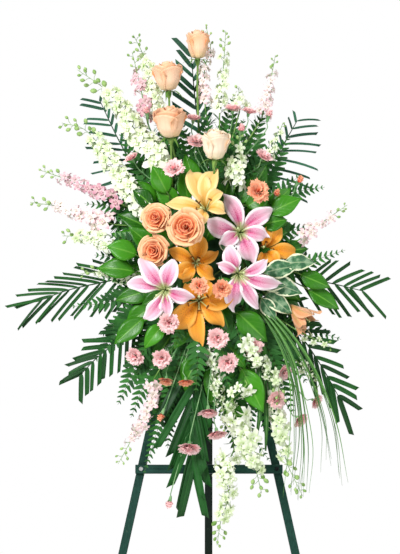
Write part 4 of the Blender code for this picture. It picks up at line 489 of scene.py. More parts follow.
# Each bunch: its hub, then each frond's route and the length of its pinnae in cm
FERNS = (
    ("fern_left", (-8.5, -1.5, 3.5), (
        (((-14.0, 8.6, 4.5), (-21.0, 11.4, 2.5), (-28.8, 12.4, 1.5)), 4.2),
        (((-13.0, -5.0, 4.0), (-22.0, -10.0, 3.5), (-32.0, -11.5, 3.0)), 4.4),
        (((-8.0, -27.0, 8.5), (-11.0, -37.0, 9.0), (-15.0, -50.0, 9.0)), 4.2),
        (((-7.0, 6.0, 6.0), (-9.5, 13.0, 7.0), (-12.0, 20.0, 6.5)), 4.0),
        (((-6.0, 4.0, 7.0), (-10.0, 4.5, 8.0), (-15.0, 6.5, 8.0)), 3.8),
        (((-6.0, -4.0, 8.0), (-10.0, -6.0, 8.5), (-16.0, -9.0, 8.0)), 4.0),
        (((-4.0, 2.0, 7.5), (-3.0, 6.0, 8.5), (-3.5, 11.0, 8.5)), 3.6),
        (((-3.5, -8.0, 9.0), (-6.0, -14.0, 11.0), (-8.0, -21.0, 12.0)), 4.2),
        (((-3.0, -11.0, 9.0), (-2.5, -20.0, 12.0), (-3.0, -31.0, 12.5)), 4.4),
        (((-9.0, -13.0, 7.0), (-13.0, -19.0, 7.5), (-17.0, -28.0, 7.5)), 4.6),
        (((-6.0, 12.0, 3.0), (-8.5, 20.0, 3.0), (-11.5, 29.0, 2.5)), 5.0),
        (((-5.0, 12.5, 2.0), (-8.5, 24.0, 1.5), (-10.5, 35.0, 1.0)), 5.2),
        (((-8.5, 11.0, 2.0), (-15.0, 19.0, 1.5), (-20.5, 29.0, 1.0)), 5.2),
        (((-9.5, 5.0, 2.5), (-18.0, 7.5, 2.5), (-27.0, 9.5, 2.0)), 5.0),
        (((-9.5, -2.0, 3.0), (-18.0, -0.5, 3.0), (-26.5, 0.5, 2.5)), 5.0),
        (((-4.0, 12.0, 3.5), (-4.5, 21.0, 3.5), (-6.0, 31.0, 3.0)), 4.8),
        (((-8.0, 10.0, 3.0), (-14.0, 17.0, 3.0), (-19.0, 25.0, 2.5)), 4.6),
        (((-9.0, 7.0, 3.5), (-16.0, 9.5, 4.0), (-24.0, 14.0, 3.5)), 4.8),
        (((-9.0, 3.0, 4.5), (-15.0, 3.0, 6.0), (-23.0, 5.0, 6.0)), 4.8),
        (((-9.0, -1.0, 4.5), (-16.0, -3.0, 5.5), (-25.0, -5.0, 5.5)), 4.8),
        (((-9.0, -7.0, 5.0), (-16.0, -12.0, 5.5), (-25.0, -18.0, 5.5)), 5.0),
        (((-8.0, -10.0, 6.0), (-12.0, -16.0, 8.0), (-16.0, -23.0, 8.5)), 4.8),
        (((-4.0, -12.0, 8.0), (-7.0, -24.0, 9.5), (-11.0, -35.0, 9.5)), 4.8),
        (((-8.0, -14.0, 6.0), (-13.5, -26.0, 7.0), (-18.0, -37.0, 7.0)), 5.0),
        (((-7.0, -14.0, 6.5), (-11.0, -28.0, 7.5), (-14.0, -41.0, 7.5)), 5.0),
        (((-5.5, -14.0, 6.0), (-8.5, -28.0, 7.0), (-9.5, -44.0, 7.0)), 5.4),
        (((-8.5, -13.0, 5.5), (-15.5, -23.0, 6.5), (-21.0, -34.0, 6.5)), 5.4),
        (((-9.0, -9.0, 5.0), (-18.0, -15.0, 6.0), (-26.5, -24.0, 6.0)), 5.2),
    )),
    ("fern_right", (8.5, -1.5, 3.0), (
        (((13.0, 12.0, 3.0), (20.0, 15.0, 2.5), (26.8, 16.2, 2.0)), 4.4),
        (((18.0, -3.0, 4.5), (25.0, -0.5, 4.0), (31.5, 1.6, 3.5)), 3.8),
        (((14.0, -11.0, 5.0), (22.0, -16.0, 5.0), (30.5, -19.0, 5.0)), 4.2),
        (((6.5, -27.0, 8.0), (7.5, -37.0, 8.5), (14.0, -47.0, 8.5)), 4.4),
        (((5.0, 8.0, 6.0), (7.5, 14.0, 6.5), (11.0, 21.0, 6.0)), 4.0),
        (((3.0, 9.0, 5.0), (2.5, 17.0, 6.0), (2.0, 26.0, 5.5)), 4.2),
        (((6.0, 5.0, 6.5), (11.0, 6.5, 7.5), (17.0, 9.5, 7.5)), 4.0),
        (((5.0, 1.0, 7.5), (9.0, 0.0, 8.0), (15.0, -0.5, 8.0)), 3.8),
        (((4.5, -6.0, 8.5), (9.0, -9.0, 9.0), (15.0, -13.0, 8.5)), 4.0),
        (((3.5, -10.0, 9.0), (6.5, -17.0, 11.0), (9.0, -25.0, 12.0)), 4.4),
        (((2.0, -11.0, 9.0), (3.0, -21.0, 11.5), (4.5, -31.0, 12.0)), 4.2),
        (((10.0, -14.0, 7.0), (14.0, -22.0, 8.0), (18.0, -31.0, 8.0)), 4.6),
        (((1.0, 13.0, 3.0), (-0.5, 23.0, 3.5), (-1.0, 34.0, 3.0)), 5.2),
        (((2.5, 12.5, 2.0), (4.0, 25.0, 2.0), (5.5, 37.0, 1.5)), 5.4),
        (((5.0, 12.5, 2.0), (9.5, 24.0, 1.5), (12.5, 34.0, 1.0)), 5.2),
        (((7.5, 11.5, 2.0), (14.0, 20.0, 1.5), (18.5, 28.0, 1.0)), 5.2),
        (((4.0, 12.0, 3.0), (6.0, 22.0, 3.0), (8.0, 32.0, 2.5)), 4.8),
        (((6.0, 11.0, 3.0), (10.5, 19.0, 3.0), (14.5, 27.0, 2.5)), 4.6),
        (((8.0, 8.0, 3.5), (14.5, 13.0, 3.5), (21.0, 19.0, 3.0)), 4.8),
        (((9.0, 3.0, 4.0), (15.0, 5.0, 5.0), (22.5, 7.0, 5.0)), 4.8),
        (((9.0, -2.0, 4.5), (16.0, -3.0, 5.0), (25.0, -4.5, 5.0)), 4.6),
        (((9.0, -7.0, 5.0), (15.0, -11.0, 5.5), (23.0, -15.0, 5.5)), 4.8),
        (((7.0, -13.0, 6.5), (11.0, -22.0, 7.5), (14.0, -34.0, 7.5)), 4.8),
        (((3.0, -13.0, 8.0), (4.5, -26.0, 9.0), (6.0, -38.0, 9.0)), 4.8),
        (((8.0, -15.0, 6.0), (12.5, -27.0, 7.0), (16.5, -38.0, 7.0)), 5.0),
        (((1.0, -14.0, 8.0), (0.5, -28.0, 8.5), (0.0, -41.0, 8.5)), 5.0),
        (((5.0, -15.0, 7.0), (8.0, -29.0, 8.0), (9.5, -43.0, 8.0)), 5.4),
        (((6.0, -15.0, 7.0), (11.0, -28.0, 7.6), (13.5, -41.5, 7.4)), 5.4),
        (((3.5, -15.0, 7.0), (4.5, -30.0, 8.0), (6.5, -46.5, 8.2)), 5.4),
        (((7.5, -14.0, 6.0), (14.5, -25.0, 7.0), (19.5, -36.0, 7.0)), 5.2),
        (((9.0, -12.0, 6.0), (16.5, -20.0, 6.5), (22.5, -29.0, 6.5)), 5.2),
    )),
)
for name, hub, fronds in FERNS:
    bed = new_bed()
    for route, length in fronds:
        row = along_curve([root_of(*route[0]), *[at(*point) for point in route]], 26)
        stem(bed, row, lambda share: 0.0013 - 0.0009 * share, sides=5)
        pairs = round(length_of(row) * LEAFY / PINNA_STEP)
        for i in range(pairs):
            late = i / pairs
            spot, way = spot_on(row, BARE + LEAFY * (i + 0.3) / pairs)
            side = way.cross(Vector((0.0, -1.0, 0.1))).normalized()
            out = side.cross(way).normalized()
            reach = length * 0.01 * (1.08 - late ** 1.5) * (0.75 + 0.5 * min(late, 0.5))
            for hand in (-1, 1):
                heading = side * hand + way * (0.45 + 0.5 * late) + out * CHANCE.uniform(-0.25, 0.12)
                face = out + side * CHANCE.uniform(-0.3, 0.3) + way * CHANCE.uniform(-0.3, 0.3)
                sow(bed, pinna, lay(spot, heading, face, max(0.006, reach)), CHANCE.random())
    stand_in_spray(bed, name, (fern_leaf, fern_rib), [name])

# Salal, on two branching sprigs, and a sprig of variegated pittosporum: broad leathery leaves with a midrib.
# The salal leaves are glossy and curl a little; the variegated ones are matt with a wavy cream margin.
# Their sprigs are pushed into the foam's sides, and the leaves close the gaps between the big flowers.

# Salal is dark fresh green under a waxy gloss that catches the light along its raised veins
salal_leaf = leaf_skin("glossy_salal_leaf", "164E08", "429018", "68A53A", 0.30, 6.5, 5.0, 0.45)
sprig_bark = stem_skin("salal_sprig", "3A5A26", "6F8A45", 0.5)
LEAF_WIDTHS = (0.10, 0.50, 0.82, 0.98, 1.0, 0.93, 0.78, 0.55, 0.27, 0.02)


def broad_leaf(bed, root, tip, half, face, wavy):
    """An oval leaf with a short tip: it folds at the midrib, arches back and waves at its edge."""
    along = tip - root
    bend = CHANCE.uniform(0.04, 0.10) * along.length
    spine = [root + along * (t / 9) + face * (bend * (math.sin(math.pi * t / 9) - 0.5 * (t / 9) ** 2))
             for t in range(10)]
    start, waves = CHANCE.uniform(0.0, 6.0), CHANCE.uniform(6.0, 9.0)
    strap(bed, spine, face, graded(*LEAF_WIDTHS, times=half), CHANCE.random(), 6, CHANCE.uniform(0.10, 0.26),
          lambda share, across: (
              wavy * half * across * across * math.sin(start + waves * share + 1.5 * across)))


def grow_leaves(bed, hub, leaves, thick, facing, wavy):
    """A sprig out of the foam that branches to each leaf; facing gives the way that a leaf looks."""
    stem(bed, along_curve([root_of(*hub), at(*hub)], 4), lambda share: 0.0024, sides=8)
    for root, tip, half in leaves:
        root, tip = at(*root), at(*tip)
        back = (tip - root).normalized() * 0.012
        stem(bed, along_curve([at(*hub), root - back, root + back * 0.4], 12),
             lambda share: thick - 0.0010 * share)
        broad_leaf(bed, root, tip, half * 0.01, facing().normalized(), wavy)


LEAVES = (
    ("salal_left", (-8.4, 2.0, 4.0), (
        ((-9.6, 14.6, 8.0), (-13.0, 21.0, 8.5), 2.5),
        ((-13.0, 11.5, 8.5), (-17.5, 15.5, 8.5), 2.1),
        ((-16.5, 0.5, 9.0), (-23.5, 2.6, 9.0), 2.5),
        ((-17.0, -3.4, 8.0), (-26.0, -2.4, 7.0), 2.4),
        ((-15.0, -14.0, 9.0), (-21.8, -20.0, 9.5), 2.3),
        ((-10.5, -15.5, 10.0), (-14.8, -21.0, 10.5), 2.0),
        ((-2.0, -22.0, 10.5), (-6.0, -30.0, 11.5), 2.2),
        ((-5.0, 13.0, 6.0), (-6.0, 20.5, 7.0), 2.2),
        ((-7.0, 12.0, 7.0), (-12.5, 16.5, 7.5), 2.3),
        ((-8.0, 9.0, 6.5), (-15.0, 11.5, 7.5), 2.3),
        ((-7.5, 4.0, 8.0), (-13.5, 4.0, 9.0), 2.2),
        ((-12.0, 1.5, 7.5), (-18.5, 7.0, 8.0), 2.2),
        ((-9.0, -3.0, 8.0), (-16.0, -2.0, 9.5), 2.4),
        ((-8.0, -8.0, 8.0), (-15.5, -11.0, 8.5), 2.3),
        ((-6.0, -12.0, 9.0), (-12.5, -17.5, 10.0), 2.2),
        ((-3.0, -14.0, 10.0), (-8.0, -21.0, 11.0), 2.2),
        ((-4.0, -2.0, 7.0), (-6.5, 3.5, 8.5), 2.0),
        ((-1.0, 3.5, 6.5), (1.5, 9.5, 7.5), 2.2),
        ((-2.0, -4.5, 7.5), (-6.0, -8.5, 9.0), 2.2),
        ((-13.0, 6.0, 5.0), (-21.0, 10.0, 4.5), 2.4),
        ((-14.0, 2.5, 5.0), (-22.5, 5.5, 4.5), 2.4),
        ((-13.5, -3.0, 5.5), (-22.0, -5.5, 5.0), 2.4),
        ((-13.0, -7.5, 6.0), (-21.5, -10.0, 5.5), 2.4),
        ((-12.5, -11.0, 6.5), (-19.5, -16.0, 6.0), 2.4),
        ((-12.0, 12.0, 5.0), (-19.0, 18.0, 4.5), 2.3),
        ((-8.5, 15.0, 4.0), (-14.0, 22.5, 3.5), 2.3),
        ((-3.0, 15.0, 4.0), (-5.5, 24.0, 4.0), 2.3),
        ((-8.0, -17.0, 8.0), (-13.0, -25.0, 8.5), 2.4),
        ((-3.5, -22.0, 8.5), (-5.5, -31.0, 9.0), 2.4),
    )),
    ("salal_right", (8.4, 0.2, 4.6), (
        ((13.8, 10.0, 7.5), (21.4, 13.6, 7.5), 2.5),
        ((8.6, 11.6, 7.5), (14.0, 14.6, 7.5), 2.8),
        ((12.0, 7.4, 8.0), (18.0, 8.6, 8.0), 2.4),
        ((21.0, -4.0, 6.5), (28.0, -7.0, 6.5), 2.1),
        ((23.0, -7.6, 5.5), (30.0, -12.0, 5.5), 2.2),
        ((6.4, -12.6, 11.0), (13.4, -19.4, 10.5), 2.9),
        ((7.6, -25.6, 10.5), (12.4, -35.6, 11.5), 2.9),
        ((3.0, 12.5, 6.0), (5.5, 19.5, 6.5), 2.2),
        ((6.5, 12.0, 6.0), (10.0, 18.5, 6.5), 2.2),
        ((8.0, 9.0, 6.0), (15.5, 11.5, 6.5), 2.4),
        ((4.0, 4.0, 7.0), (4.0, 11.0, 8.0), 2.2),
        ((11.0, 2.0, 6.0), (17.5, 3.0, 6.5), 2.2),
        ((10.0, 0.0, 7.0), (17.0, -1.0, 7.0), 2.2),
        ((15.0, -5.0, 6.0), (21.0, -10.0, 6.5), 2.2),
        ((4.0, -2.0, 7.5), (8.0, 1.0, 8.5), 2.0),
        ((2.0, -5.0, 8.0), (5.5, -9.5, 10.0), 2.1),
        ((2.5, -11.0, 9.5), (5.0, -18.0, 11.0), 2.3),
        ((8.0, -10.0, 8.0), (14.5, -15.5, 8.0), 2.2),
        ((3.0, -19.0, 10.0), (8.5, -25.5, 10.5), 2.4),
        ((9.0, -18.0, 8.5), (13.0, -25.5, 9.0), 2.3),
        ((4.0, -33.0, 9.5), (9.0, -42.0, 10.5), 2.3),
        ((12.0, 6.0, 4.5), (20.0, 7.0, 4.5), 2.4),
        ((15.0, 1.0, 4.5), (23.0, 2.0, 4.5), 2.4),
        ((13.0, 10.5, 4.0), (19.0, 16.0, 4.0), 2.3),
        ((9.0, 14.0, 3.5), (13.5, 21.5, 3.5), 2.3),
        ((3.5, 15.5, 3.5), (3.0, 24.0, 3.5), 2.3),
        ((14.0, -9.5, 5.5), (22.0, -13.5, 5.5), 2.4),
        ((12.0, -14.0, 6.0), (19.5, -20.5, 6.0), 2.4),
        ((5.0, -21.0, 8.0), (7.0, -30.0, 8.5), 2.4),
        ((1.0, -24.0, 8.5), (0.5, -34.0, 9.0), 2.4),
        ((9.0, -23.0, 7.5), (14.5, -31.0, 8.0), 2.4),
    )),
)
for name, hub, leaves in LEAVES:
    bed = new_bed()
    grow_leaves(bed, hub, leaves, 0.0021,
                lambda: Vector((CHANCE.uniform(-0.25, 0.25), -1.0, CHANCE.uniform(0.0, 0.4))), 0.10)
    stand_in_spray(bed, name, (salal_leaf, sprig_bark), [name], 0.0005)

# Variegated leaves are grey-green, with blurred greyish zones and a cream margin a fifth of the leaf wide
variegated_leaf, tree, shader = finish_named("variegated_pittosporum_leaf", Specular_IOR_Level=0.45)
away = place_on_sheet(tree)[2]
place = add(tree, "TexCoord").outputs["Object"]
zone = add(tree, "TexNoise", {"Vector": place, "Scale": 70.0, "Detail": 4.0}).outputs["Fac"]
uneven = add(tree, "Math", {0: zone, 1: 0.22, 2: away}, operation="MULTIPLY_ADD").outputs[0]
margin = add(tree, "MapRange", {"Value": uneven, "From Min": 0.50, "From Max": 0.535}).outputs[0]
midrib = add(tree, "MapRange", {"Value": away, "From Min": 0.05, "From Max": 0.015, "To Max": 0.6}).outputs[0]
green = add(tree, "ValToRGB", {"Fac": zone}, [(0.40, "245A36"), (0.50, "3F7449"),
                                              (0.60, "7C9C78")]).outputs["Color"]
ribbed = add(tree, "Mix", {0: midrib, 6: green, 7: "A9BE93"}, data_type="RGBA").outputs[2]
colour = add(tree, "Mix", {0: margin, 6: ribbed, 7: "E9EFC9"}, data_type="RGBA").outputs[2]
dull = add(tree, "MapRange", {"Value": zone, "To Min": 0.36, "To Max": 0.52}).outputs[0]
swell = add(tree, "Bump", {"Strength": 0.3, "Distance": 0.0008, "Height": midrib})
coat(tree, shader, colour, dull, swell)
VARIEGATED = (
    ((12.6, -3.6, 9.5), (20.6, -2.0, 9.0), 2.2), ((13.6, -5.6, 9.0), (21.4, -8.4, 8.5), 2.3),
    ((13.0, -8.4, 9.0), (19.0, -13.2, 8.5), 2.1), ((17.0, -1.5, 8.5), (24.6, -1.2, 8.0), 2.0),
    ((12.0, -9.5, 9.5), (15.4, -14.4, 9.5), 1.8), ((12.0, -6.5, 10.0), (17.6, -6.6, 10.5), 1.6),
    ((4.0, 1.2, 9.0), (3.2, 5.6, 10.5), 1.5),
)
bed = new_bed()
grow_leaves(bed, (8.6, -5.6, 4.4), VARIEGATED, 0.0020,
            lambda: Vector((CHANCE.uniform(-0.2, 0.2), -1.0, 0.2)), 0.20)
stand_in_spray(bed, "variegated_leaves", (variegated_leaf, sprig_bark),
               ["variegated_leaves"], 0.0005)

# Bear grass: one knot of long thin blades that spring out to the front and fall to the lower right.
# Each blade is a stiff narrow gutter that tapers to a thread, pale green with fine lengthwise lines.

# Fine pale stripes run the blade's length, about 1 mm apart
grass_blade = leaf_skin("bear_grass_blade", "225A20", "5C9442", "9CC07E", 0.45, 0.0, 8.0, 0.3)
GRASS = (
    ((12.7, -14.0, 10.0), (18.2, -26.0, 13.5), (19.6, -42.0, 13.0), (18.6, -56.0, 12.0)),
    ((13.2, -13.6, 10.4), (19.2, -24.5, 13.8), (22.6, -42.0, 13.2), (22.0, -57.0, 12.6)),
    ((13.6, -13.2, 9.6), (21.0, -24.0, 12.8), (26.2, -38.0, 12.0), (27.6, -50.0, 11.0)),
    ((14.0, -12.6, 9.0), (22.0, -23.0, 12.0), (28.4, -38.0, 10.8), (30.2, -54.4, 9.8)),
)
# Three broad dark blades hang nearly straight down in front of the right leg
BLADES = (((11.0, -17.0, 8.6), (12.6, -28.0, 9.6), (13.2, -37.0, 9.4), (13.0, -44.5, 9.0)),
          ((11.6, -17.0, 8.2), (13.8, -28.0, 9.0), (14.9, -37.0, 8.8), (15.4, -43.0, 8.4)),
          ((10.6, -17.0, 9.0), (11.6, -28.0, 10.2), (11.6, -36.0, 10.0), (10.8, -42.0, 9.6)))
bed = new_bed()
hub = (8.6, -12.0, 5.6)
stem(bed, along_curve([root_of(*hub), at(*hub), at(12.9, -13.4, 9.6)], 8),
     lambda share: 0.0030 - 0.0008 * share)
for i in range(18):
    route = GRASS[i % 4]
    spread = CHANCE.uniform(-1.0, 1.0)
    points = [at(right + spread * 0.5 * k + CHANCE.uniform(-0.3, 0.3) * k, up + CHANCE.uniform(0.0, 1.5) * k,
                 out + CHANCE.uniform(-0.6, 0.3) * k) for k, (right, up, out) in enumerate(route)]
    broad = 0.0027 if i < 4 else 0.0015
    spine = along_curve([at(*hub), *points], 30)
    face = Vector((CHANCE.uniform(-0.6, 0.6), -1.0, 0.2)).normalized()
    strap(bed, spine, face, lambda share, broad=broad: (
        broad * (0.55 + 0.45 * min(1.0, 4 * share)) * (1.0 - share ** 1.6) + 0.0002), CHANCE.random(), 2, 0.4)
for route in BLADES:
    spine = along_curve([at(*hub), *[at(*point) for point in route]], 24)
    face = Vector((CHANCE.uniform(-0.4, 0.4), -1.0, 0.1)).normalized()
    strap(bed, spine, face, lambda share: (
        0.0062 * (0.35 + 0.65 * min(1.0, 2.5 * share)) * (1.0 - 0.7 * share ** 6)), 0.1, 4, 0.3)
stand_in_spray(bed, "bear_grass", (grass_blade, sprig_bark), ["bear_grass"], 0.0003)

# Larkspur: spikes of small five-petalled florets on short side stalks, open below, in green bud at the top.
# Each floret has a ruffled eye in front and a thin spur behind. Spikes of a bunch share one hole in the foam.
# White ones have a green cast that fades down the spike; the others are dusty pink.


def petal_skin(name, base, middle, rim, side, side_from, blush, fine, gloss):
    """A petal's skin from its foot to its rim, another colour along its sides, tinted and lined a little."""
    made, tree, shader = finish_named(name, Specular_IOR_Level=0.3, Sheen_Weight=0.25, Sheen_Roughness=0.5)
    across, along, away, tint = place_on_sheet(tree)
    run = add(tree, "ValToRGB", {"Fac": along},
              [(0.05, base), (0.55, middle), (1.0, rim)]).outputs["Color"]
    edge = add(tree, "MapRange", {"Value": away, "From Min": side_from, "From Max": 0.5}).outputs[0]
    edge_part = add(tree, "Math", {0: edge, 1: along}, operation="MULTIPLY").outputs[0]
    sided = add(tree, "Mix", {0: edge_part, 6: run, 7: side}, data_type="RGBA").outputs[2]
    warm = add(tree, "MapRange", {"Value": tint, "To Max": 0.75}).outputs[0]
    tinted = add(tree, "Mix", {0: warm, 6: sided, 7: blush}, data_type="RGBA").outputs[2]
    drawn = add(tree, "CombineXYZ", {"X": across, "Y": along, "Z": tint})
    long = add(tree, "Mapping", {"Vector": drawn.outputs[0], "Scale": (fine, 1.6, 9.0)}).outputs["Vector"]
    line = add(tree, "TexNoise", {"Vector": long, "Scale": 1.0, "Detail": 3.0}).outputs["Fac"]
    pale = add(tree, "MapRange",
               {"Value": line, "From Min": 0.3, "From Max": 0.75, "To Min": 0.92, "To Max": 1.08})
    lit = add(tree, "VectorMath", {0: tinted, "Scale": pale.outputs[0]}, operation="SCALE").outputs[0]
    dull = add(tree, "MapRange", {"Value": line, "To Min": gloss - 0.08, "To Max": gloss + 0.1}).outputs[0]
    crease = add(tree, "Bump", {"Strength": 0.25, "Distance": 0.0004, "Height": line})
    coat(tree, shader, lit, dull, crease)
    return made


# White larkspur is chalky with a green eye; the tint carries a floret towards pale green
white_larkspur = petal_skin("white_larkspur_petal", "C3DA94", "F2F6E6", "FBFCF5", "E9F1D6", 0.25, "C6DE9A",
                            9.0, 0.6)
# Pink larkspur is dusty, deeper at the rim, and some florets are nearly white
pink_larkspur = petal_skin("pink_larkspur_petal", "E6D6CC", "CF96A6", "B3627F", "D6A6B2", 0.25, "EBD8D8",
                           9.0, 0.6)
# Blush larkspur is nearly white, flushed pink at the rims
blush_larkspur = petal_skin("blush_larkspur_petal", "E4E8CC", "F0D3D6", "DFA0B0", "EED4D6", 0.25, "FAF4F0",
                            9.0, 0.6)
# Buds are matt light green
larkspur_bud = stem_skin("larkspur_bud", "6F9A48", "AFCB84", 0.5)
# The thread leaves are darker than the stalks
larkspur_leaf = stem_skin("larkspur_thread_leaf", "1E4F1C", "4A8038", 0.55)
larkspur_stalk = stem_skin("larkspur_stalk", "5C8A3C", "8FB564", 0.5)


def open_floret(bed):
    """A floret 1 in radius that faces +Z: five cupped petals, a small ruffled eye and a spur behind."""
    face = Vector((0.0, 0.0, 1.0))
    for i in range(5):
        angle = 2 * math.pi * i / 5 + 0.3
        out = Vector((math.cos(angle), math.sin(angle), 0.0))
        spine = [out * reach + face * height
                 for reach, height in ((0.06, 0.0), (0.48, 0.16), (0.90, 0.14), (1.16, -0.02))]
        strap(bed, spine, face, graded(0.10, 0.33, 0.30, 0.04), 0.5, 2, 0.22)
    for i in range(4):
        angle = 2 * math.pi * i / 4
        out = Vector((math.cos(angle), math.sin(angle), 0.0))
        spine = [out * reach + face * height for reach, height in ((0.03, 0.10), (0.16, 0.36), (0.34, 0.46))]
        strap(bed, spine, face, graded(0.05, 0.15, 0.12), 0.5, 1)
    spur = [Vector((0.0, -0.05 - 0.35 * t * t, -0.05 - 1.0 * t)) for t in (0.0, 0.5, 1.0)]
    stem(bed, spur, lambda along: 0.10 * (1.0 - along) + 0.02, 0.5, 4, 0)


def closed_bud(bed):
    """A pear-shaped bud 1 long along +Y."""
    row = [Vector((0.0, t, 0.0)) for t in (0.0, 0.18, 0.5, 0.82, 1.0)]
    stem(bed, row, graded(0.0, 0.24, 0.36, 0.24, 0.0), 0.5, 6, 0)


floret = seed(open_floret)
bud = seed(closed_bud)


def around(axis, angle):
    """The direction at an angle round an axis, from the right-hand side as a viewer sees it."""
    right = Vector((1.0, 0.0, 0.0))
    right = (right - axis * right.dot(axis)).normalized()
    above = right.cross(axis).normalized()
    if above.z < 0.0:
        above = -above
    return right * math.cos(angle) + above * math.sin(angle)


# Florets, buds and leaf tufts follow one another round a stem by this angle in radians
NEXT_TURN = 2.4
FLORET_STEP, FLORET_RADIUS, FLORET_STALK, BUD_LENGTH = 0.0078, 0.0172, 0.0150, 0.0165
# The share of a spike that is open, and the share of florets that have dropped
OPEN_SHARE, DROPPED = 0.72, 0.06
# A tuft of thread leaves stands at each such step of a lead stem, from this share of it on
TUFT_STEP, TUFTS_FROM = 0.016, 0.3
# The slots of a bunch's finishes; slot 1 is the stalk, which stem takes unasked
OF_BUNCH, BUD, BLUSH, THREADS, PINK = 0, 2, 3, 4, 5
# Each bunch: its hub, then each spike from its lowest floret to its tip, its size and its petals' finish
LARKSPUR = (
    ("larkspur_white_upper_left", "white", (-7.5, 14.5, 2.5), (
        (((-11.3, 21.2, 5.0), (-17.5, 30.0, 4.5), (-23.5, 38.2, 4.0), (-30.4, 43.3, 3.5)), 1.3, OF_BUNCH),
        (((-11.6, 33.0, 2.5), (-14.5, 44.9, 2.0), (-17.5, 51.5, 1.5)), 0.9, OF_BUNCH),
        (((-14.6, 33.0, 2.6), (-16.0, 40.0, 2.8), (-17.8, 47.5, 2.4)), 0.85, PINK),
    )),
    ("larkspur_left", "white", (-9.0, 6.5, 2.0), (
        (((-14.0, 9.6, 6.5), (-17.6, 14.9, 6.0), (-27.6, 28.5, 3.5), (-34.0, 31.0, 3.0)), 1.25, OF_BUNCH),
        (((-23.6, 8.0, 3.0), (-27.6, 9.0, 3.0), (-33.8, 11.5, 2.5), (-41.4, 12.7, 2.0)), 0.95, BLUSH),
        (((-23.2, 2.6, 4.5), (-27.0, 4.6, 4.5), (-33.8, 4.9, 4.0)), 1.0, OF_BUNCH),
        (((-17.3, -4.4, 5.0), (-24.2, -3.4, 4.5), (-29.7, -3.9, 4.0)), 0.9, OF_BUNCH),
    )),
    ("larkspur_pink_left", "mauve", (-8.8, 9.5, -0.5), (
        (((-21.2, 12.7, 4.0), (-30.0, 16.9, 3.5), (-39.3, 20.2, 3.0)), 0.9, OF_BUNCH),
    )),
    ("larkspur_top", "white", (2.4, 16.0, 1.5), (
        (((-0.9, 36.6, 1.5), (-1.0, 43.9, 1.0), (0.4, 48.1, 0.8), (-0.8, 54.0, 0.6)), 0.75, BLUSH),
        (((2.6, 34.5, 3.0), (3.2, 42.0, 2.5), (3.9, 52.4, 2.0)), 0.8, OF_BUNCH),
        (((12.7, 34.0, 1.5), (13.8, 38.5, 1.2), (15.4, 46.8, 1.0)), 0.75, BLUSH),
        (((7.0, 35.6, 3.0), (6.9, 39.4, 3.0)), 0.9, OF_BUNCH),
        (((6.0, 17.6, 8.0), (6.2, 22.8, 8.5), (7.3, 28.0, 8.0)), 1.05, OF_BUNCH),
        (((14.5, 24.6, 3.0), (17.2, 31.2, 2.8)), 0.6, OF_BUNCH),
    )),
    ("larkspur_right", "mauve", (8.4, 3.0, 1.5), (
        (((22.1, 5.0, 5.0), (27.0, 8.6, 4.5), (31.9, 12.0, 4.0)), 0.85, BLUSH),
    )),
    ("larkspur_low_right", "white", (8.2, -9.5, 2.0), (
        (((11.2, -24.8, 8.0), (13.0, -29.5, 6.6), (16.0, -38.5, 8.6), (17.7, -46.7, 11.0),
          (21.4, -54.7, 11.5)), 1.2, OF_BUNCH),
        (((8.5, -20.5, 12.0), (12.0, -24.5, 12.2), (15.5, -29.0, 11.6), (16.2, -33.5, 11.2)), 0.9, OF_BUNCH),
        (((22.3, -26.0, 7.0), (25.3, -28.6, 7.0), (24.4, -31.0, 7.0)), 0.65, OF_BUNCH),
        (((22.8, -18.2, 8.5), (28.2, -20.8, 8.5)), 0.65, OF_BUNCH),
    )),
    ("larkspur_low_middle", "white", (2.8, -17.0, 2.5), (
        (((6.4, -37.0, 12.5), (8.4, -42.0, 13.2), (10.4, -47.5, 13.5), (12.0, -54.0, 13.0)), 1.3, OF_BUNCH),
        (((7.4, -30.6, 12.0), (4.4, -34.0, 12.5), (3.4, -40.5, 12.0)), 0.85, OF_BUNCH),
        (((1.2, -21.5, 10.0), (2.4, -31.5, 10.5), (3.8, -38.0, 11.0)), 0.85, OF_BUNCH),
        (((4.9, -46.0, 10.5), (3.2, -49.7, 11.0), (4.6, -54.6, 11.5), (2.8, -60.0, 11.5),
          (1.8, -66.0, 11.5)), 1.1, OF_BUNCH),
    )),
    ("larkspur_low_left", "mauve", (-5.6, -16.4, 1.5), (
        (((-12.9, -29.8, 9.5), (-13.8, -35.0, 10.0), (-17.7, -41.8, 10.5), (-20.8, -47.4, 10.5)),
         0.85, BLUSH),
    )),
)
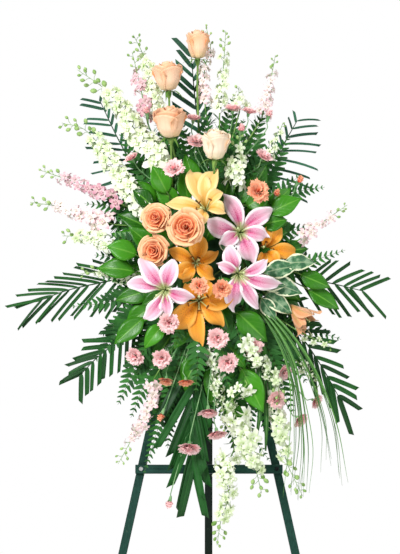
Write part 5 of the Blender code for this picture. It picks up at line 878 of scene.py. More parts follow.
for name, colour, hub, spikes in LARKSPUR:
    bed = new_bed()
    for route, size, kind in spikes:
        points = [at(*point) for point in route]
        back = (points[0] - points[1]).normalized() * 0.02
        lead = along_curve([root_of(*hub), at(*hub), points[0] + back], 14)
        stem(bed, lead, lambda share: 0.0021 - 0.0004 * share, sides=5)
        row = along_curve([points[0] + back, *points], 26)
        stem(bed, row, lambda share: 0.0017 - 0.0012 * share, sides=5)
        # Larkspur leaves are cut into threads and stand in tufts up the stem
        for i in range(round(length_of(lead) * 0.7 / TUFT_STEP)):
            reached = TUFTS_FROM + TUFT_STEP * i / (13 * (lead[1] - lead[0]).length)
            spot, way = spot_on(lead, min(1.0, reached))
            for k in range(6):
                out = around(way, NEXT_TURN * i + CHANCE.uniform(-1.3, 1.3)) + way * CHANCE.uniform(0.1, 1.3)
                out.normalize()
                long = CHANCE.uniform(0.018, 0.038)
                strap(bed, [spot, spot + out * long * 0.5 + way * 0.002, spot + out * long], out.orthogonal(),
                      graded(0.0006, 0.0011, 0.0002), 0.3, 2, 0.3, finish=THREADS)
        count = round(length_of(row) / FLORET_STEP)
        green = 0.50 if colour == "white" else 0.35
        for i in range(count):
            late = i / count
            spot, way = spot_on(row, 0.05 + 0.95 * late + CHANCE.uniform(-0.3, 0.3) / count)
            out = around(way, NEXT_TURN * i + CHANCE.uniform(-0.5, 0.5))
            out = (out + Vector((0.0, -0.35, 0.0)) + way * 0.45).normalized()
            if late < OPEN_SHARE:
                radius = FLORET_RADIUS * size * (1.10 - 0.60 * late) * CHANCE.uniform(0.78, 1.12)
                stalk = FLORET_STALK * size * (1.1 - 0.45 * late) * CHANCE.uniform(0.55, 1.25)
                if CHANCE.random() < DROPPED:
                    continue
                heart = spot + out * stalk
                face = out + Vector((0.0, -0.5, 0.0)) + around(way, CHANCE.uniform(0.0, 6.3)) * 0.35
                face.normalize()
                up = face.orthogonal() if abs(face.dot(way)) > 0.95 else way
                tint = min(1.0, max(0.0, green * late * 1.5 + CHANCE.uniform(-0.15, 0.25)))
                sow(bed, floret, lay(heart, up - face * up.dot(face), face, radius), tint, kind)
                stem(bed, [spot, spot.lerp(heart, 0.55) + way * 0.0015, heart], lambda share: 0.0007, 0.5, 3)
            else:
                long = BUD_LENGTH * size * (1.5 - late) * CHANCE.uniform(0.85, 1.15)
                stalk = (0.012 if late < 0.93 else 0.006) * size * CHANCE.uniform(0.7, 1.2)
                heart = spot + out * stalk
                stem(bed, [spot, spot.lerp(heart, 0.5) + way * 0.002, heart], lambda share: 0.0006, 0.5, 3)
                sow(bed, bud, lay(heart, out + way * 0.8, around(way, 0.0), long), CHANCE.random(), BUD)
    petal = white_larkspur if colour == "white" else pink_larkspur
    finishes = (petal, larkspur_stalk, larkspur_bud, blush_larkspur, larkspur_leaf, pink_larkspur)
    stand_in_spray(bed, name, finishes, [name])

# Spray carnations: round ruffled heads of toothed petals packed into a tubular green calyx, and a few buds.
# Each bunch forks out of one thin blue-green stem in the foam. Most are pink with pale teeth, two are coral.

# Pink carnation petals are matt and velvety and pale at the teeth; pink and coral ones are both painted
# deeper towards their feet, as painted shade where the petals crowd together
pink_carnation = petal_skin("pink_carnation_petal", "FF9DA8", "FFB6BC", "FFE2E0", "FFC4C6", 0.36, "FFD2D1",
                            7.0, 0.7)
coral_carnation = petal_skin("coral_carnation_petal", "EE5A2E", "F8844E", "FDC8A4", "FAA078", 0.36, "FBA880",
                             7.0, 0.7)
# Stem and calyx have a blue-grey wax bloom, so they look dry and paler than the leaves
carnation_stem = stem_skin("waxy_carnation_stem", "5E8F5A", "8DB57F", 0.6)


def ruffled_head(bed, turn, count, broad, dome):
    """A head 1 in radius that faces +Z: a spiral of frilled, toothed fans, the inner ones upright."""
    axis = Vector((0.0, 0.0, 1.0))
    for i in range(count):
        share = ((i + 0.5) / count) ** 0.62
        angle = turn + NEXT_TURN * i + 0.5 * math.sin(7 * i + turn)
        out = Vector((math.cos(angle), math.sin(angle), 0.0))
        side = axis.cross(out)
        far = broad * share * (1.0 + 0.09 * math.sin(5 * i + 3 * turn))
        top = dome * (1.0 - share * share) + 0.10 * math.sin(3.7 * i + turn)
        wide, start = 0.34 + 0.20 * share, 2.3 * i + turn

        def shape(along, across, out=out, side=side, far=far, top=top, wide=wide, start=start, share=share):
            notch = 0.09 * (round((across + 1) * 5) % 2) * (along > 0.9)
            grown = along * (1.0 - notch - 0.14 * across * across * along)
            frill = 0.085 * along * along * math.sin(start + 5.2 * across)
            reach = (far + 0.10) * grown ** (1.0 + 0.5 * share)
            return (out * (reach + frill) + side * (wide * across * grown ** 1.1)
                    + axis * (-0.55 + (top + 0.55) * grown ** 0.8 + (0.05 + 0.5 * share) * frill))
        sheet(bed, 4, 10, shape)


full_heads = [seed(lambda bed, turn=turn: ruffled_head(bed, turn, 46, 1.0, 0.34)) for turn in (0.0, 1.3, 2.9)]
bud_head = seed(lambda bed: ruffled_head(bed, 0.7, 15, 0.5, 0.95))

# Each bunch: its hub, then each head's place, facing (right, out, up) and size
CARNATIONS = (
    ("carnations_upper_left", "pink", (-7.5, 13.5, 5.5), (
        ((-8.1, 20.3, 11.0), (-0.1, 1.0, 0.5), 1.0),
        ((-17.9, 22.8, 6.0), (-0.6, 0.4, 0.8), 0.75),
        ((-14.3, 33.3, 5.0), (-0.2, 0.3, 1.0), 0.60),
    )),
    ("carnations_top", "pink", (1.5, 16.0, 5.0), (
        ((-3.0, 26.6, 8.5), (0.0, 0.6, 0.8), 0.95),
        ((-3.7, 32.0, 5.5), (0.0, 0.3, 1.0), 0.80),
        ((5.5, 34.2, 6.5), (0.1, 0.3, 1.0), 0.85),
        ((7.4, 29.2, 8.0), (0.2, 0.5, 0.8), 0.55),
        ((9.2, 33.6, 5.0), (0.2, 0.3, 1.0), 0.80),
        ((13.8, 32.6, 4.0), (0.3, 0.2, 1.0), 0.55),
        ((12.7, 23.2, 7.0), (0.5, 0.5, 0.7), 0.90),
    )),
    ("carnations_coral_right", "coral", (8.5, 9.5, 5.0), (
        ((11.3, 15.0, 10.5), (0.2, 1.0, 0.3), 1.15),
        ((15.4, 14.2, 7.5), (0.3, 0.4, 1.0), 0.50),
        ((20.7, 17.4, 5.0), (0.5, 0.3, 0.8), 0.55),
    )),
    ("carnations_coral_low", "coral", (-0.6, -7.5, 8.0), (
        ((-2.2, -6.6, 19.5), (-0.1, 1.0, 0.1), 0.90),
        ((2.9, -7.3, 18.5), (0.1, 1.0, -0.1), 0.95),
        ((-9.9, -28.3, 12.5), (-0.2, 0.5, -1.0), 0.75),
        ((-5.3, -28.5, 13.5), (0.1, 0.5, -1.0), 0.75),
        ((-10.8, -36.0, 12.0), (-0.4, 0.4, -1.0), 0.55),
    )),
    ("carnations_left", "pink", (-7.8, -11.0, 6.0), (
        ((-9.2, -15.0, 17.0), (-0.1, 1.0, -0.2), 1.05),
        ((-17.0, -22.8, 9.5), (-0.5, 0.9, -0.4), 0.95),
        ((-10.8, -23.2, 13.5), (-0.2, 1.0, -0.4), 1.0),
    )),
    ("carnations_low", "pink", (2.0, -15.5, 7.0), (
        ((1.9, -18.6, 14.5), (0.0, 1.0, -0.1), 1.05),
        ((4.3, -24.1, 14.5), (0.1, 1.0, -0.3), 1.0),
        ((10.1, -20.6, 11.0), (0.4, 1.0, -0.2), 1.0),
        ((-0.2, -35.4, 14.5), (0.0, 0.45, -1.0), 1.0),
        ((1.8, -40.4, 14.0), (0.15, 0.4, -1.0), 0.95),
        ((-4.6, -43.6, 13.5), (-0.15, 0.6, -1.0), 1.1),
        ((-9.0, -56.0, 12.5), (-0.2, 0.6, -1.0), 0.55),
    )),
    ("carnations_right", "pink", (8.2, -14.0, 4.4), (
        ((17.3, -26.5, 9.0), (0.6, 0.7, -0.5), 0.85),
        ((15.4, -32.7, 10.5), (0.3, 1.0, -0.4), 0.95),
        ((24.6, -33.2, 8.0), (0.8, 0.5, -0.4), 0.80),
        ((20.9, -37.4, 9.0), (0.6, 0.6, -0.6), 0.85),
    )),
)


def axis_of(facing):
    """The direction in which a flower looks, from its facing to the right, out and up."""
    right, out, up = facing
    return Vector((right, -out, up)).normalized()


for name, colour, hub, heads in CARNATIONS:
    bed = new_bed()
    stem(bed, along_curve([root_of(*hub), at(*hub)], 4), lambda share: 0.0021, sides=6)
    for place, facing, size in heads:
        axis = axis_of(facing)
        base = at(*place)
        small = size < 0.7
        # A bud's stem and calyx aren't as small as its flower
        big = max(size, 0.75)
        neck = base - axis * (0.021 if small else 0.017) * big
        branch = along_curve([at(*hub), neck - axis * 0.03, neck], 16)
        stem(bed, branch, lambda share: 0.0016 - 0.0004 * share)
        # The calyx: a tube that widens to five short teeth
        calyx = [neck + axis * (t * 0.020 * big) for t in (0.0, 0.08, 0.4, 0.8, 1.0)]
        stem(bed, calyx, graded(0.0018, 0.0036, 0.0046, 0.0056, 0.0064, times=big), 0.5, 8)
        for i in range(5):
            out = around(axis, 1.26 * i)
            spine = [calyx[3] + out * 0.0050 * big, calyx[4] + out * 0.0066 * big,
                     calyx[4] + (out * 0.0085 + axis * 0.004) * big]
            strap(bed, spine, out, graded(0.0026, 0.0022, 0.0003), 0.5, 2, 0.1, finish=1)
        flower = bud_head if small else CHANCE.choice(full_heads)
        radius = (0.0205 if small else 0.0235) * big
        spin = CHANCE.uniform(0.0, 6.3)
        sow(bed, flower, lay(base + axis * 0.002, around(axis, spin), axis, radius), CHANCE.uniform(0.0, 0.8))
        # Narrow leaves in pairs at the joints of the stem
        for joint in (0.3, 0.5, 0.7):
            root, way = spot_on(branch, joint)
            turned = CHANCE.uniform(0.0, 6.3)
            for out in (around(way, turned), around(way, turned + math.pi)):
                leaf = [root, root + (out * 0.4 + way * 0.9) * 0.009, root + (out * 0.9 + way * 0.8) * 0.016,
                        root + (out * 1.4 + way * 0.2) * 0.019]
                strap(bed, leaf, way, graded(0.0016, 0.0018, 0.0012, 0.0002), 0.5, 2, 0.3, finish=1)
    petal = pink_carnation if colour == "pink" else coral_carnation
    stand_in_spray(bed, name, (petal, carnation_stem), [name])

# Lilies: six long petals that curl back, three broad ones over three narrow ones, round a green throat.
# Six filaments stand in the throat round the pistil; the florist has cut the anthers off the pink ones.
# Yellow and orange ones are Asiatic, smooth and waxy; pink ones are Oriental, wavy, spotted, edged in white.


def lily_skin(name, rib, flesh, margin, throat, spot_colour, spots, rib_width):
    """A lily petal: a ribbon of rib colour fades to flesh and margin; a throat and small raised spots."""
    made, tree, shader = finish_named(name, Specular_IOR_Level=0.3, Sheen_Weight=0.1)
    across, along, away, tint = place_on_sheet(tree)
    drawn = add(tree, "CombineXYZ", {"X": across, "Y": along, "Z": tint})
    long = add(tree, "Mapping", {"Vector": drawn.outputs[0], "Scale": (26.0, 2.2, 9.0)}).outputs["Vector"]
    line = add(tree, "TexNoise", {"Vector": long, "Scale": 1.0, "Detail": 4.0}).outputs["Fac"]
    blur = add(tree, "Math", {0: line, 1: 0.12, 2: away}, operation="MULTIPLY_ADD").outputs[0]
    band = add(tree, "ValToRGB", {"Fac": blur},
               [(0.06, rib), (0.06 + rib_width, flesh), (0.34, flesh),
                (0.47, margin)]).outputs["Color"]
    # The colour runs out towards the tip, where the petal is nearly as pale as its margin
    tip = add(tree, "MapRange", {"Value": along, "From Min": 0.36, "From Max": 1.0, "To Max": 0.85})
    ended = add(tree, "Mix", {0: tip.outputs[0], 6: band, 7: margin}, data_type="RGBA").outputs[2]
    foot = add(tree, "MapRange", {"Value": along, "From Min": 0.30, "From Max": 0.12}).outputs[0]
    rooted = add(tree, "Mix", {0: foot, 6: ended, 7: throat}, data_type="RGBA").outputs[2]
    dots = add(tree, "Mapping", {"Vector": drawn.outputs[0], "Scale": (13.0, 26.0, 0.0)}).outputs["Vector"]
    cells = add(tree, "TexVoronoi", {"Vector": dots, "Scale": 1.0}, voronoi_dimensions="2D").outputs[0]
    near = add(tree, "MapRange", {"Value": cells, "From Min": 0.26, "From Max": 0.14}).outputs[0]
    inner = add(tree, "MapRange", {"Value": away, "From Min": 0.36, "From Max": 0.26}).outputs[0]
    upper = add(tree, "MapRange", {"Value": along, "From Min": 0.62, "From Max": 0.5}).outputs[0]
    zone = add(tree, "Math", {0: inner, 1: upper}, operation="MULTIPLY").outputs[0]
    raised = add(tree, "Math", {0: near, 1: zone}, operation="MULTIPLY").outputs[0]
    mark = add(tree, "Math", {0: raised, 1: spots}, operation="MULTIPLY").outputs[0]
    marked = add(tree, "Mix", {0: mark, 6: rooted, 7: spot_colour}, data_type="RGBA").outputs[2]
    pale = add(tree, "MapRange",
               {"Value": line, "From Min": 0.3, "From Max": 0.75, "To Min": 0.88, "To Max": 1.06})
    lit = add(tree, "VectorMath", {0: marked, "Scale": pale.outputs[0]}, operation="SCALE").outputs[0]
    dull = add(tree, "MapRange", {"Value": line, "To Min": 0.36, "To Max": 0.55}).outputs[0]
    high = add(tree, "Math", {0: mark, 1: 1.5, 2: line}, operation="MULTIPLY_ADD").outputs[0]
    crease = add(tree, "Bump", {"Strength": 0.3, "Distance": 0.0005, "Height": high})
    coat(tree, shader, lit, dull, crease)
    return made


# Waxy petals with a soft gloss along their ribs; spots only as strong as each kind has them
LILY_SKINS = {
    "yellow": lily_skin("yellow_lily_petal", "E8A232", "F3C068", "F9DA98", "C9A440", "B5701E", 0.08, 0.12),
    "orange": lily_skin("orange_lily_petal", "E6860C", "F39C1E", "F8B44E", "BC7A18", "8A3E10", 0.45, 0.16),
    "pink": lily_skin("pink_lily_petal", "CC3E7C", "E08CB0", "FAEFF3", "CBDB96", "A82860", 0.75, 0.13),
    "peach": lily_skin("faded_peach_lily_petal", "B9A65A", "E09C68", "EBB48A", "B98A48", "8A4A20", 0.2, 0.07),
}
filament_skin = stem_skin("lily_filament", "B9CC86", "DDE6B0", 0.4)
# Anthers are a dry felt of brown pollen
anther_skin = stem_skin("lily_anther_pollen", "5A3414", "8A5524", 0.9)

# Each flower: place, facing (right, out, up), size and kind; then for each petal, the three outer ones first,
# its direction in degrees anticlockwise from the right, its reach and its half width in cm
LILIES = (
    ("lily_yellow", (-0.7, 10.9, 12.0), (0.0, 1.0, 0.30), 1.0, "yellow",
     ((169, 9.2, 1.8), (46, 5.2, 1.6), (250, 5.0, 1.6), (109, 9.9, 2.8), (-20, 4.6, 1.8), (77, 9.6, 2.3))),
    ("lily_orange_middle", (-3.0, -1.4, 9.5), (0.0, 1.0, 0.05), 0.86, "orange",
     ((29, 5.4, 1.4), (155, 6.8, 1.6), (240, 5.2, 1.3), (88, 6.2, 2.2), (208, 5.6, 2.0), (-39, 5.3, 1.7))),
    ("lily_orange_low", (-2.3, -9.9, 12.0), (-0.03, 1.0, 0.05), 1.02, "orange",
     ((60, 5.0, 1.6), (272, 10.4, 2.0), (128, 4.6, 1.6), (230, 9.0, 2.7), (4, 7.3, 2.4), (311, 7.8, 2.0))),
    ("lily_orange_right", (12.6, 1.6, 6.5), (0.25, 1.0, 0.05), 0.92, "orange",
     ((108, 9.4, 1.6), (240, 4.0, 1.4), (87, 5.0, 1.3), (54, 6.8, 1.5), (-3, 7.8, 1.9), (297, 4.0, 1.6))),
    ("lily_pink_upper", (7.1, 5.7, 9.5), (0.10, 1.0, 0.08), 1.0, "pink",
     ((114, 9.0, 2.0), (214, 5.4, 1.9), (348, 6.2, 1.9), (163, 8.0, 2.3), (33, 9.0, 2.1), (290, 7.4, 2.4))),
    ("lily_pink_middle", (6.7, -3.9, 13.0), (0.10, 1.0, -0.05), 1.0, "pink",
     ((27, 7.2, 1.5), (301, 9.0, 1.7), (155, 5.4, 1.4), (111, 7.0, 2.1), (-14, 9.9, 1.8), (263, 8.0, 2.3))),
    ("lily_pink_left", (-10.1, -7.6, 15.5), (-0.18, 1.0, -0.12), 1.0, "pink",
     ((172, 8.8, 1.9), (277, 5.8, 1.7), (-14, 6.8, 1.9), (126, 8.7, 2.0), (72, 7.5, 2.2), (236, 8.0, 1.9))),
    ("lily_peach_side", (19.4, -12.0, 7.5), (0.85, 0.30, -0.75), 1.0, "peach",
     ((10, 7.6, 1.5), (130, 7.6, 1.5), (250, 7.6, 1.5), (70, 8.0, 1.8), (190, 8.0, 1.8), (310, 8.0, 1.8))),
)
# Along a petal: its share of the reach, and of the half width
PETAL = ((0.0, 0.14), (0.05, 0.20), (0.12, 0.32), (0.21, 0.52), (0.31, 0.75), (0.42, 0.93), (0.53, 1.0),
         (0.64, 0.97), (0.74, 0.86), (0.83, 0.68), (0.91, 0.48), (0.97, 0.28), (1.0, 0.06))
# Petals start this far from the flower's axis
THROAT = 0.003
for name, place, facing, size, kind, petals in LILIES:
    bed = new_bed()
    axis, base = axis_of(facing), at(*place)
    first = petals[0][0]
    closed = kind == "peach"
    for i, (angle, long, half) in enumerate(petals):
        out = around(axis, math.radians(angle))
        side = axis.cross(out)
        long, half, lift = long * 0.01, half * 0.01, 0.003 * (i > 2)
        # A petal that looks short comes towards the viewer before it curls back
        rise = 0.032 + 0.42 * max(0.0, 0.082 - long)
        fall = CHANCE.uniform(0.016, 0.030) * (long / 0.09)
        sway = CHANCE.uniform(-0.20, 0.20) * long
        spine = []
        for share, _ in PETAL:
            reach = THROAT + (long - THROAT) * share
            height = rise * (1.0 - math.exp(-5.0 * share)) - 0.014 - fall * share ** 3 + lift
            if closed:
                reach = long * (0.04 + 0.36 * share * share + 0.18 * math.sin(2.6 * share))
                height = 0.078 * share - 0.012 - 0.018 * share ** 6
            spine.append(base + out * reach + axis * height + side * (sway * share * (1.0 - share) * 2.0))
        wave, start = (0.0044 if kind == "pink" else 0.0016), CHANCE.uniform(0.0, 6.3)
        turn, hand = CHANCE.uniform(-0.55, 0.55), CHANCE.choice((-1, 1))

        def ripple(along, across, half=half, wave=wave, start=start, turn=turn, hand=hand):
            groove = -0.0020 * math.exp(-(across / 0.16) ** 2) * (1.0 - along)
            swing = wave * math.sin(start + 15.0 * along + hand * 1.6 * across)
            edge = swing * abs(across) ** 2.2 * min(1.0, 3 * along)
            return groove + edge + turn * half * across * along
        strap(bed, spine, axis, graded(*[wide for _, wide in PETAL], times=half),
              CHANCE.random(), 10, 0.30 if kind != "pink" else 0.20, ripple)
    # Six filaments and the pistil, the seventh, curve out of the throat
    for i in range(7):
        angle = math.radians(first) + math.pi * (i + 0.5) / 3 + CHANCE.uniform(-0.3, 0.3)
        out = around(axis, angle) if i < 6 else around(axis, math.radians(first) + 0.4)
        far = (0.020 if i < 6 else 0.010) * CHANCE.uniform(0.85, 1.15) * (0.45 if closed else 1.0)
        tall = (0.036 if i < 6 else 0.046) * (0.8 if kind != "pink" else 1.0) + (0.012 if closed else 0.0)
        row = [base + (out * (0.002 + far * t ** 1.4) + axis * (-0.010 + (tall + 0.010) * t - 0.006 * t ** 3)
                       - Vector((0.0, 0.0, 0.004 * t * t))) * size for t in (0.0, 0.2, 0.4, 0.6, 0.8, 1.0)]
        thin = 0.0008 if i < 6 else 0.0012
        stem(bed, row, lambda share, thin=thin: thin * (1.25 - 0.5 * share))
        if i == 6:
            knob = [row[-1] + axis * (t * 0.004) for t in (-0.1, 0.3, 0.7, 1.0)]
            stem(bed, knob, graded(0.0008, 0.0024, 0.0026, 0.0))
        elif kind != "pink":
            across = around(axis, angle + math.pi / 2)
            anther = [row[-1] + (across * (t - 0.5) + axis * 0.12) * 0.011 * size
                      for t in (0.0, 0.2, 0.5, 0.8, 1.0)]
            stem(bed, anther, graded(0.0, 0.0013, 0.0016, 0.0013, 0.0), finish=2)
    # The flower's own stalk runs back from its base and down into the foam
    foot = base - axis * (0.015 * size)
    hole = root_of(place[0] * 0.35, place[1] * 0.6, 0.0)
    row = along_curve([hole, foot - axis * 0.035, foot], 12)
    stem(bed, row, lambda share: 0.0026 - 0.0004 * share, sides=8, finish=3)
    cup = [foot - axis * 0.003, foot, foot + axis * 0.006]
    stem(bed, cup, graded(0.0024, 0.0034, 0.0028), sides=8, finish=3)
    finishes = (LILY_SKINS[kind], filament_skin, anther_skin, carnation_stem)
    stand_in_spray(bed, name, finishes, [name], 0.0006)

# Roses, four long-stemmed buds above and three open ones at the heart of the spray, all of one apricot kind.
# A bud is a goblet of broad petals wound round each other, rims rolled out, on a green calyx of five sepals.
# An open rose is the same flower a few days on: outer petals lie back and the centre is a tight coral spiral.


def wound_petal(bed, base, axis, turn, stations, half, roll, size, tint, tip=0.05, corner=0.17, flat=0.0,
                finish=0):
    """A broad petal round a flower's axis: stations give its reach and height, half its half angle.
    Its rim is drawn out to a tip, falls off at the corners, and flat straightens it across."""
    last = len(stations) - 1
    start = CHANCE.uniform(0.0, 6.3)

    def shape(along, across):
        point = 1.0 + tip * (math.exp(-(across / 0.22) ** 2) - 0.4) * along
        share = along * (1.0 - corner * abs(across) ** (4.0 - 6.0 * flat)) * point
        place = min(last - 1e-6, max(0.0, share * last))
        i = int(place)
        part = place - i
        (r0, h0), (r1, h1) = stations[i], stations[i + 1]
        wide = half * (0.45 + 0.55 * math.sin(min(1.0, along * 1.25) * math.pi / 2))
        out_by, up_by = r0 + (r1 - r0) * part, h0 + (h1 - h0) * part
        # The rim rolls outwards, more at its corners than at its tip
        curl = roll * along ** 5 * (0.45 + 0.75 * across * across)
        out_by *= 1.0 + flat * (wide * across) ** 2
        out_by += (curl + 0.0007 * math.sin(start + 5.0 * across) * along ** 3
                   - 0.0016 * across * across * (1 - along))
        up_by -= 0.55 * curl
        way = around(axis, turn + across * wide)
        return base + (way * out_by + axis * up_by) * size
    sheet(bed, 12, 10, shape, tint, finish)


# Rosebud petals are pale peach satin: nearly cream in the middle, orange at their sides, greenish at the foot
peach_bud, cream_bud, open_apricot, inner_coral = [petal_skin(*colours, 12.0, 0.5) for colours in (
    ("peach_rosebud_petal", "CFC67E", "F4C8A4", "F5B98A", "E99F5E", 0.22, "F6D6BC"),
    ("cream_rosebud_petal", "E2DDA6", "F7E0C4", "F8DFC0", "F2C99C", 0.26, "FAEBD8"),
    ("apricot_rose_petal", "F38A4E", "F7A870", "FCD0A4", "F9C08C", 0.28, "F9B880"),
    ("coral_rose_heart", "F46A30", "FB9054", "FDB684", "FA9E66", 0.28, "FB985A"))]
# Sepals are a paler, duller green than the leaves
sepal_skin = leaf_skin("rose_sepal", "3F6E26", "7CA24A", "8FB060", 0.5, 0.0, 10.0, 0.3)
# Rose stems are smooth mid green, in soft patches a little darker and lighter
rose_stem = stem_skin("rose_stem", "4C7A34", "84A050", 0.45)

# A bud's rows of petals from the innermost out: count, half angle, roll and profile of reach and height
BUD_ROWS = (
    (2, 1.70, 0.0004, ((0.0, 0.005), (0.002, 0.012), (0.0030, 0.032), (0.0028, 0.054), (0.0020, 0.0660))),
    (3, 1.05, 0.0008, ((0.0, 0.004), (0.004, 0.010), (0.0066, 0.030), (0.0064, 0.052), (0.0060, 0.0665))),
    (3, 1.20, 0.0012, ((0.0, 0.003), (0.008, 0.008), (0.0122, 0.028), (0.0118, 0.050), (0.0112, 0.0662))),
    (3, 1.20, 0.0020, ((0.0, 0.002), (0.012, 0.007), (0.0180, 0.026), (0.0176, 0.048), (0.0172, 0.0645))),
    (3, 1.10, 0.0040, ((0.0, 0.001), (0.015, 0.006), (0.0228, 0.024), (0.0235, 0.045), (0.0258, 0.0610))),
    (4, 0.98, 0.0060, ((0.0, 0.000), (0.017, 0.005), (0.0262, 0.022), (0.0275, 0.040), (0.0300, 0.0570))),
)
# Each bud: place, facing, size, slenderness, colour and the turn of its first petal
ROSEBUDS = (
    ("rose_bud_top", (-2.6, 45.7, 3.0), (0.0, 0.05, 1.0), 0.90, 1.15, "peach", 0.40),
    ("rose_bud_left", (-9.3, 38.2, 5.0), (-0.06, 0.12, 1.0), 1.05, 1.0, "peach", 0.75),
    ("rose_bud_low", (-8.8, 27.3, 9.0), (-0.05, 0.22, 1.0), 1.13, 0.98, "peach", 1.35),
    ("rose_bud_cream", (1.3, 22.2, 11.0), (0.04, 0.22, 1.0), 1.04, 1.03, "cream", 2.10),
)
for name, place, facing, size, slender, kind, first in ROSEBUDS:
    axis, base = axis_of(facing), at(*place)
    bed = new_bed()
    for k, (count, half, roll, stations) in enumerate(BUD_ROWS):
        for i in range(count):
            turn = first + 2 * math.pi * (i + 0.37 * k) / count + CHANCE.uniform(-0.12, 0.12)
            tall = CHANCE.uniform(0.98, 1.02) * slender
            grown = [(reach * (1.0 + 0.03 * math.sin(3 * i)) / slender ** 0.5, height * tall)
                     for reach, height in stations]
            wound_petal(bed, base, axis, turn, grown, half, roll, size, 0.15 + 0.5 * CHANCE.random())
    stand_in_spray(bed, name, (peach_bud if kind == "peach" else cream_bud,),
                   [name], 0.0005)

    # The stem, its bead of a hip under the flower, and five sepals bent down
    bed = new_bed()
    hole = root_of(place[0] * 0.5, 11.0, place[2] * 0.3)
    foot = base - axis * 0.014
    row = along_curve([hole, foot - axis * 0.10 * size, foot], 24)
    stem(bed, row, lambda share: 0.0030 - 0.0006 * share, sides=8)
    hip = [foot + axis * (t * 0.016) for t in (-0.15, 0.1, 0.45, 0.8, 1.0)]
    stem(bed, hip, graded(0.0024, 0.0044, 0.0062, 0.0068, 0.0062, times=size), 0.5, 10)
    for i in range(5):
        out = around(axis, first + 2 * math.pi * i / 5)
        bend = CHANCE.uniform(0.5, 1.5)
        long = CHANCE.uniform(0.9, 1.15) * size
        spine = [base + (out * reach + axis * height) * long for reach, height in
                 ((0.004, -0.002), (0.010, -0.001), (0.017, 0.002 - 0.002 * bend),
                  (0.024, 0.003 - 0.006 * bend), (0.031, 0.002 - 0.011 * bend),
                  (0.037, -0.002 - 0.014 * bend))]
        strap(bed, spine, axis, graded(0.0030, 0.0042, 0.0040, 0.0028, 0.0014, 0.0002, times=size),
              CHANCE.random(), 4, 0.25)
    stand_in_spray(bed, name + "_stem", (sepal_skin, rose_stem), [name + "_stem"])

# Open roses, rows from the outermost in: count, half angle, roll, profile, and 1 where it is the coral heart
OPEN_ROWS = (
    (5, 0.66, 0.0085, ((0.000, 0.003), (0.018, 0.004), (0.034, 0.011), (0.046, 0.019), (0.0520, 0.0210)), 0),
    (5, 0.68, 0.0070, ((0.000, 0.005), (0.015, 0.007), (0.029, 0.016), (0.039, 0.027), (0.0450, 0.0310)), 0),
    (5, 0.70, 0.0055, ((0.000, 0.007), (0.012, 0.009), (0.024, 0.020), (0.032, 0.033), (0.0370, 0.0385)), 0),
    (4, 0.80, 0.0045, ((0.000, 0.009), (0.010, 0.011), (0.019, 0.023), (0.0250, 0.036), (0.0290, 0.0430)), 1),
    (4, 0.80, 0.0032, ((0.000, 0.011), (0.008, 0.013), (0.014, 0.026), (0.0185, 0.040), (0.0215, 0.0465)), 1),
    (4, 0.85, 0.0020, ((0.000, 0.012), (0.006, 0.015), (0.010, 0.028), (0.0130, 0.042), (0.0150, 0.0490)), 1),
    (3, 1.05, 0.0010, ((0.000, 0.013), (0.004, 0.017), (0.006, 0.029), (0.0080, 0.043), (0.0090, 0.0500)), 1),
    (2, 1.60, 0.0004, ((0.000, 0.014), (0.002, 0.018), (0.003, 0.030), (0.0036, 0.043), (0.0040, 0.0500)), 1),
)
OPEN_ROSES = (
    ("rose_open_left", (-11.7, 8.5, 13.5), (-0.25, 1.0, 0.15), 0.66),
    ("rose_open_middle", (-5.3, 6.3, 17.5), (-0.05, 1.0, 0.12), 0.84),
    ("rose_open_low", (-12.2, 1.4, 13.0), (-0.30, 1.0, -0.05), 0.68),
)
for name, place, facing, size in OPEN_ROSES:
    axis, base = axis_of(facing), at(*place)
    bed = new_bed()
    for k, (count, half, roll, stations, heart) in enumerate(OPEN_ROWS):
        # The heart sits a little to one side, and no two petals stand alike
        off = around(axis, CHANCE.uniform(0.0, 6.3)) * (0.0006 * k * size)
        for i in range(count):
            turn = 0.9 * k + 2 * math.pi * i / count + CHANCE.uniform(-0.28, 0.28)
            spread, tall = CHANCE.uniform(0.88, 1.08), CHANCE.uniform(0.93, 1.05)
            grown = [(reach * spread, height * tall) for reach, height in stations]
            wound_petal(bed, base + off, axis, turn, grown, half * CHANCE.uniform(0.88, 1.12),
                        roll * CHANCE.uniform(0.5, 1.3), size, CHANCE.uniform(0.0, 0.5), 0.12, 0.26, 0.16,
                        heart)
    foot = base - axis * 0.004
    hole = root_of(place[0] * 0.4, place[1] * 0.7, 0.0)
    stem(bed, along_curve([hole, foot - axis * 0.05, foot], 12), lambda share: 0.0028, 0.5, 8, 2)
    hip = [foot + axis * (t * 0.012) for t in (-0.5, 0.0, 0.5, 0.9)]
    stem(bed, hip, graded(0.0026, 0.0056, 0.0074, 0.0070), 0.5, 10, 2)
    for i in range(5):
        out = around(axis, 2 * math.pi * i / 5)
        spine = [foot + (out * reach + axis * height) * size for reach, height in
                 ((0.004, 0.000), (0.012, 0.001), (0.022, 0.000), (0.032, -0.006), (0.040, -0.014))]
        strap(bed, spine, axis, graded(0.0036, 0.0046, 0.0040, 0.0022, 0.0003), 0.5, 4, 0.2, finish=3)
    finishes = (open_apricot, inner_coral, rose_stem, sepal_skin)
    stand_in_spray(bed, name, finishes, [name], 0.0005)

# The studio: a pale matt floor, a white room that lights everything softly, and three big softboxes.
# The camera stands far off at the height of the spray's middle and looks level at it, as in the photograph.

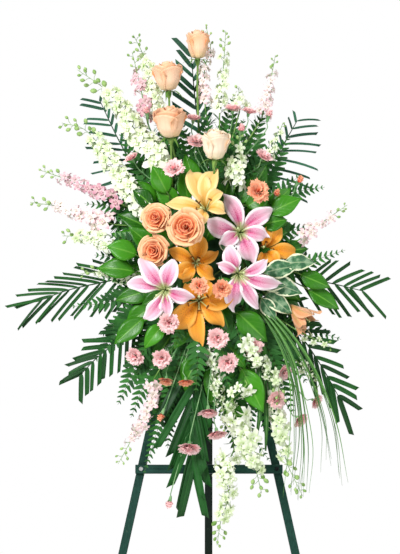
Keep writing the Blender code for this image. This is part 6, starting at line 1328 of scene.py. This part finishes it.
# Matt vinyl flooring, almost white, with a faint unevenness that keeps it from looking like paper
floor_vinyl, tree, shader = finish_named("matt_white_vinyl", Roughness=0.85)
place = add(tree, "TexCoord").outputs["Object"]
haze = add(tree, "TexNoise", {"Vector": place, "Scale": 2.0, "Detail": 3.0}).outputs["Fac"]
colour = add(tree, "ValToRGB", {"Fac": haze}, [(0.3, "EDEDEB"), (0.7, "F4F4F2")]).outputs["Color"]
tree.links.new(colour, shader.inputs["Base Color"])
FLOOR_RADIUS = 2.2
bed = bmesh.new()
bmesh.ops.create_circle(bed, cap_ends=True, segments=96, radius=FLOOR_RADIUS)
mesh = bpy.data.meshes.new("studio_floor")
bed.to_mesh(mesh)
bed.free()
mesh.materials.append(floor_vinyl)
floor = bpy.data.objects.new("studio_floor", mesh)
bpy.context.scene.collection.objects.link(floor)

room = bpy.data.worlds.new("white_room")
room.use_nodes = True
tree = room.node_tree
dim = tree.nodes["Background"]
dim.inputs["Color"].default_value = (1.0, 1.0, 1.0, 1.0)
dim.inputs["Strength"].default_value = 0.38
seen = add(tree, "Background", {"Color": (1.0, 1.0, 1.0, 1.0), "Strength": 1.0})
path = add(tree, "LightPath")
choice = add(tree, "MixShader", {0: path.outputs["Is Camera Ray"], 1: dim.outputs[0], 2: seen.outputs[0]})
tree.links.new(choice.outputs[0], tree.nodes["World Output"].inputs["Surface"])
bpy.context.scene.world = room
bpy.context.scene.view_settings.view_transform = "Standard"
# The middle of the view; then each softbox's place, its power in watts and its side in metres
AIM = Vector((0.0028, -0.2, 1.1890))
for name, place, power, side in (("key_softbox", (-2.2, -3.4, 3.2), 200.0, 1.6),
                                 ("fill_softbox", (2.8, -3.2, 1.8), 55.0, 2.2),
                                 ("top_softbox", (0.4, 1.6, 3.6), 50.0, 1.6)):
    lamp = bpy.data.lights.new(name, "AREA")
    lamp.energy = power
    lamp.size = side
    made = bpy.data.objects.new(name, lamp)
    made.location = place
    made.rotation_euler = (AIM - Vector(place)).to_track_quat("-Z", "Y").to_euler()
    bpy.context.scene.collection.objects.link(made)

# The photograph shows this height at the spray, taken here from far away with a long lens
VIEW_HEIGHT, CAMERA_AWAY = 1.2742, 8.0
lens = bpy.data.cameras.new("camera")
lens.sensor_fit = "VERTICAL"
lens.sensor_height = 36.0
lens.lens = lens.sensor_height * CAMERA_AWAY / VIEW_HEIGHT
lens.clip_end = 60.0
camera = bpy.data.objects.new("camera", lens)
camera.location = AIM + Vector((0.0, -CAMERA_AWAY, 0.0))
camera.rotation_euler = (math.pi / 2, 0.0, 0.0)
bpy.context.scene.collection.objects.link(camera)
bpy.context.scene.camera = camera
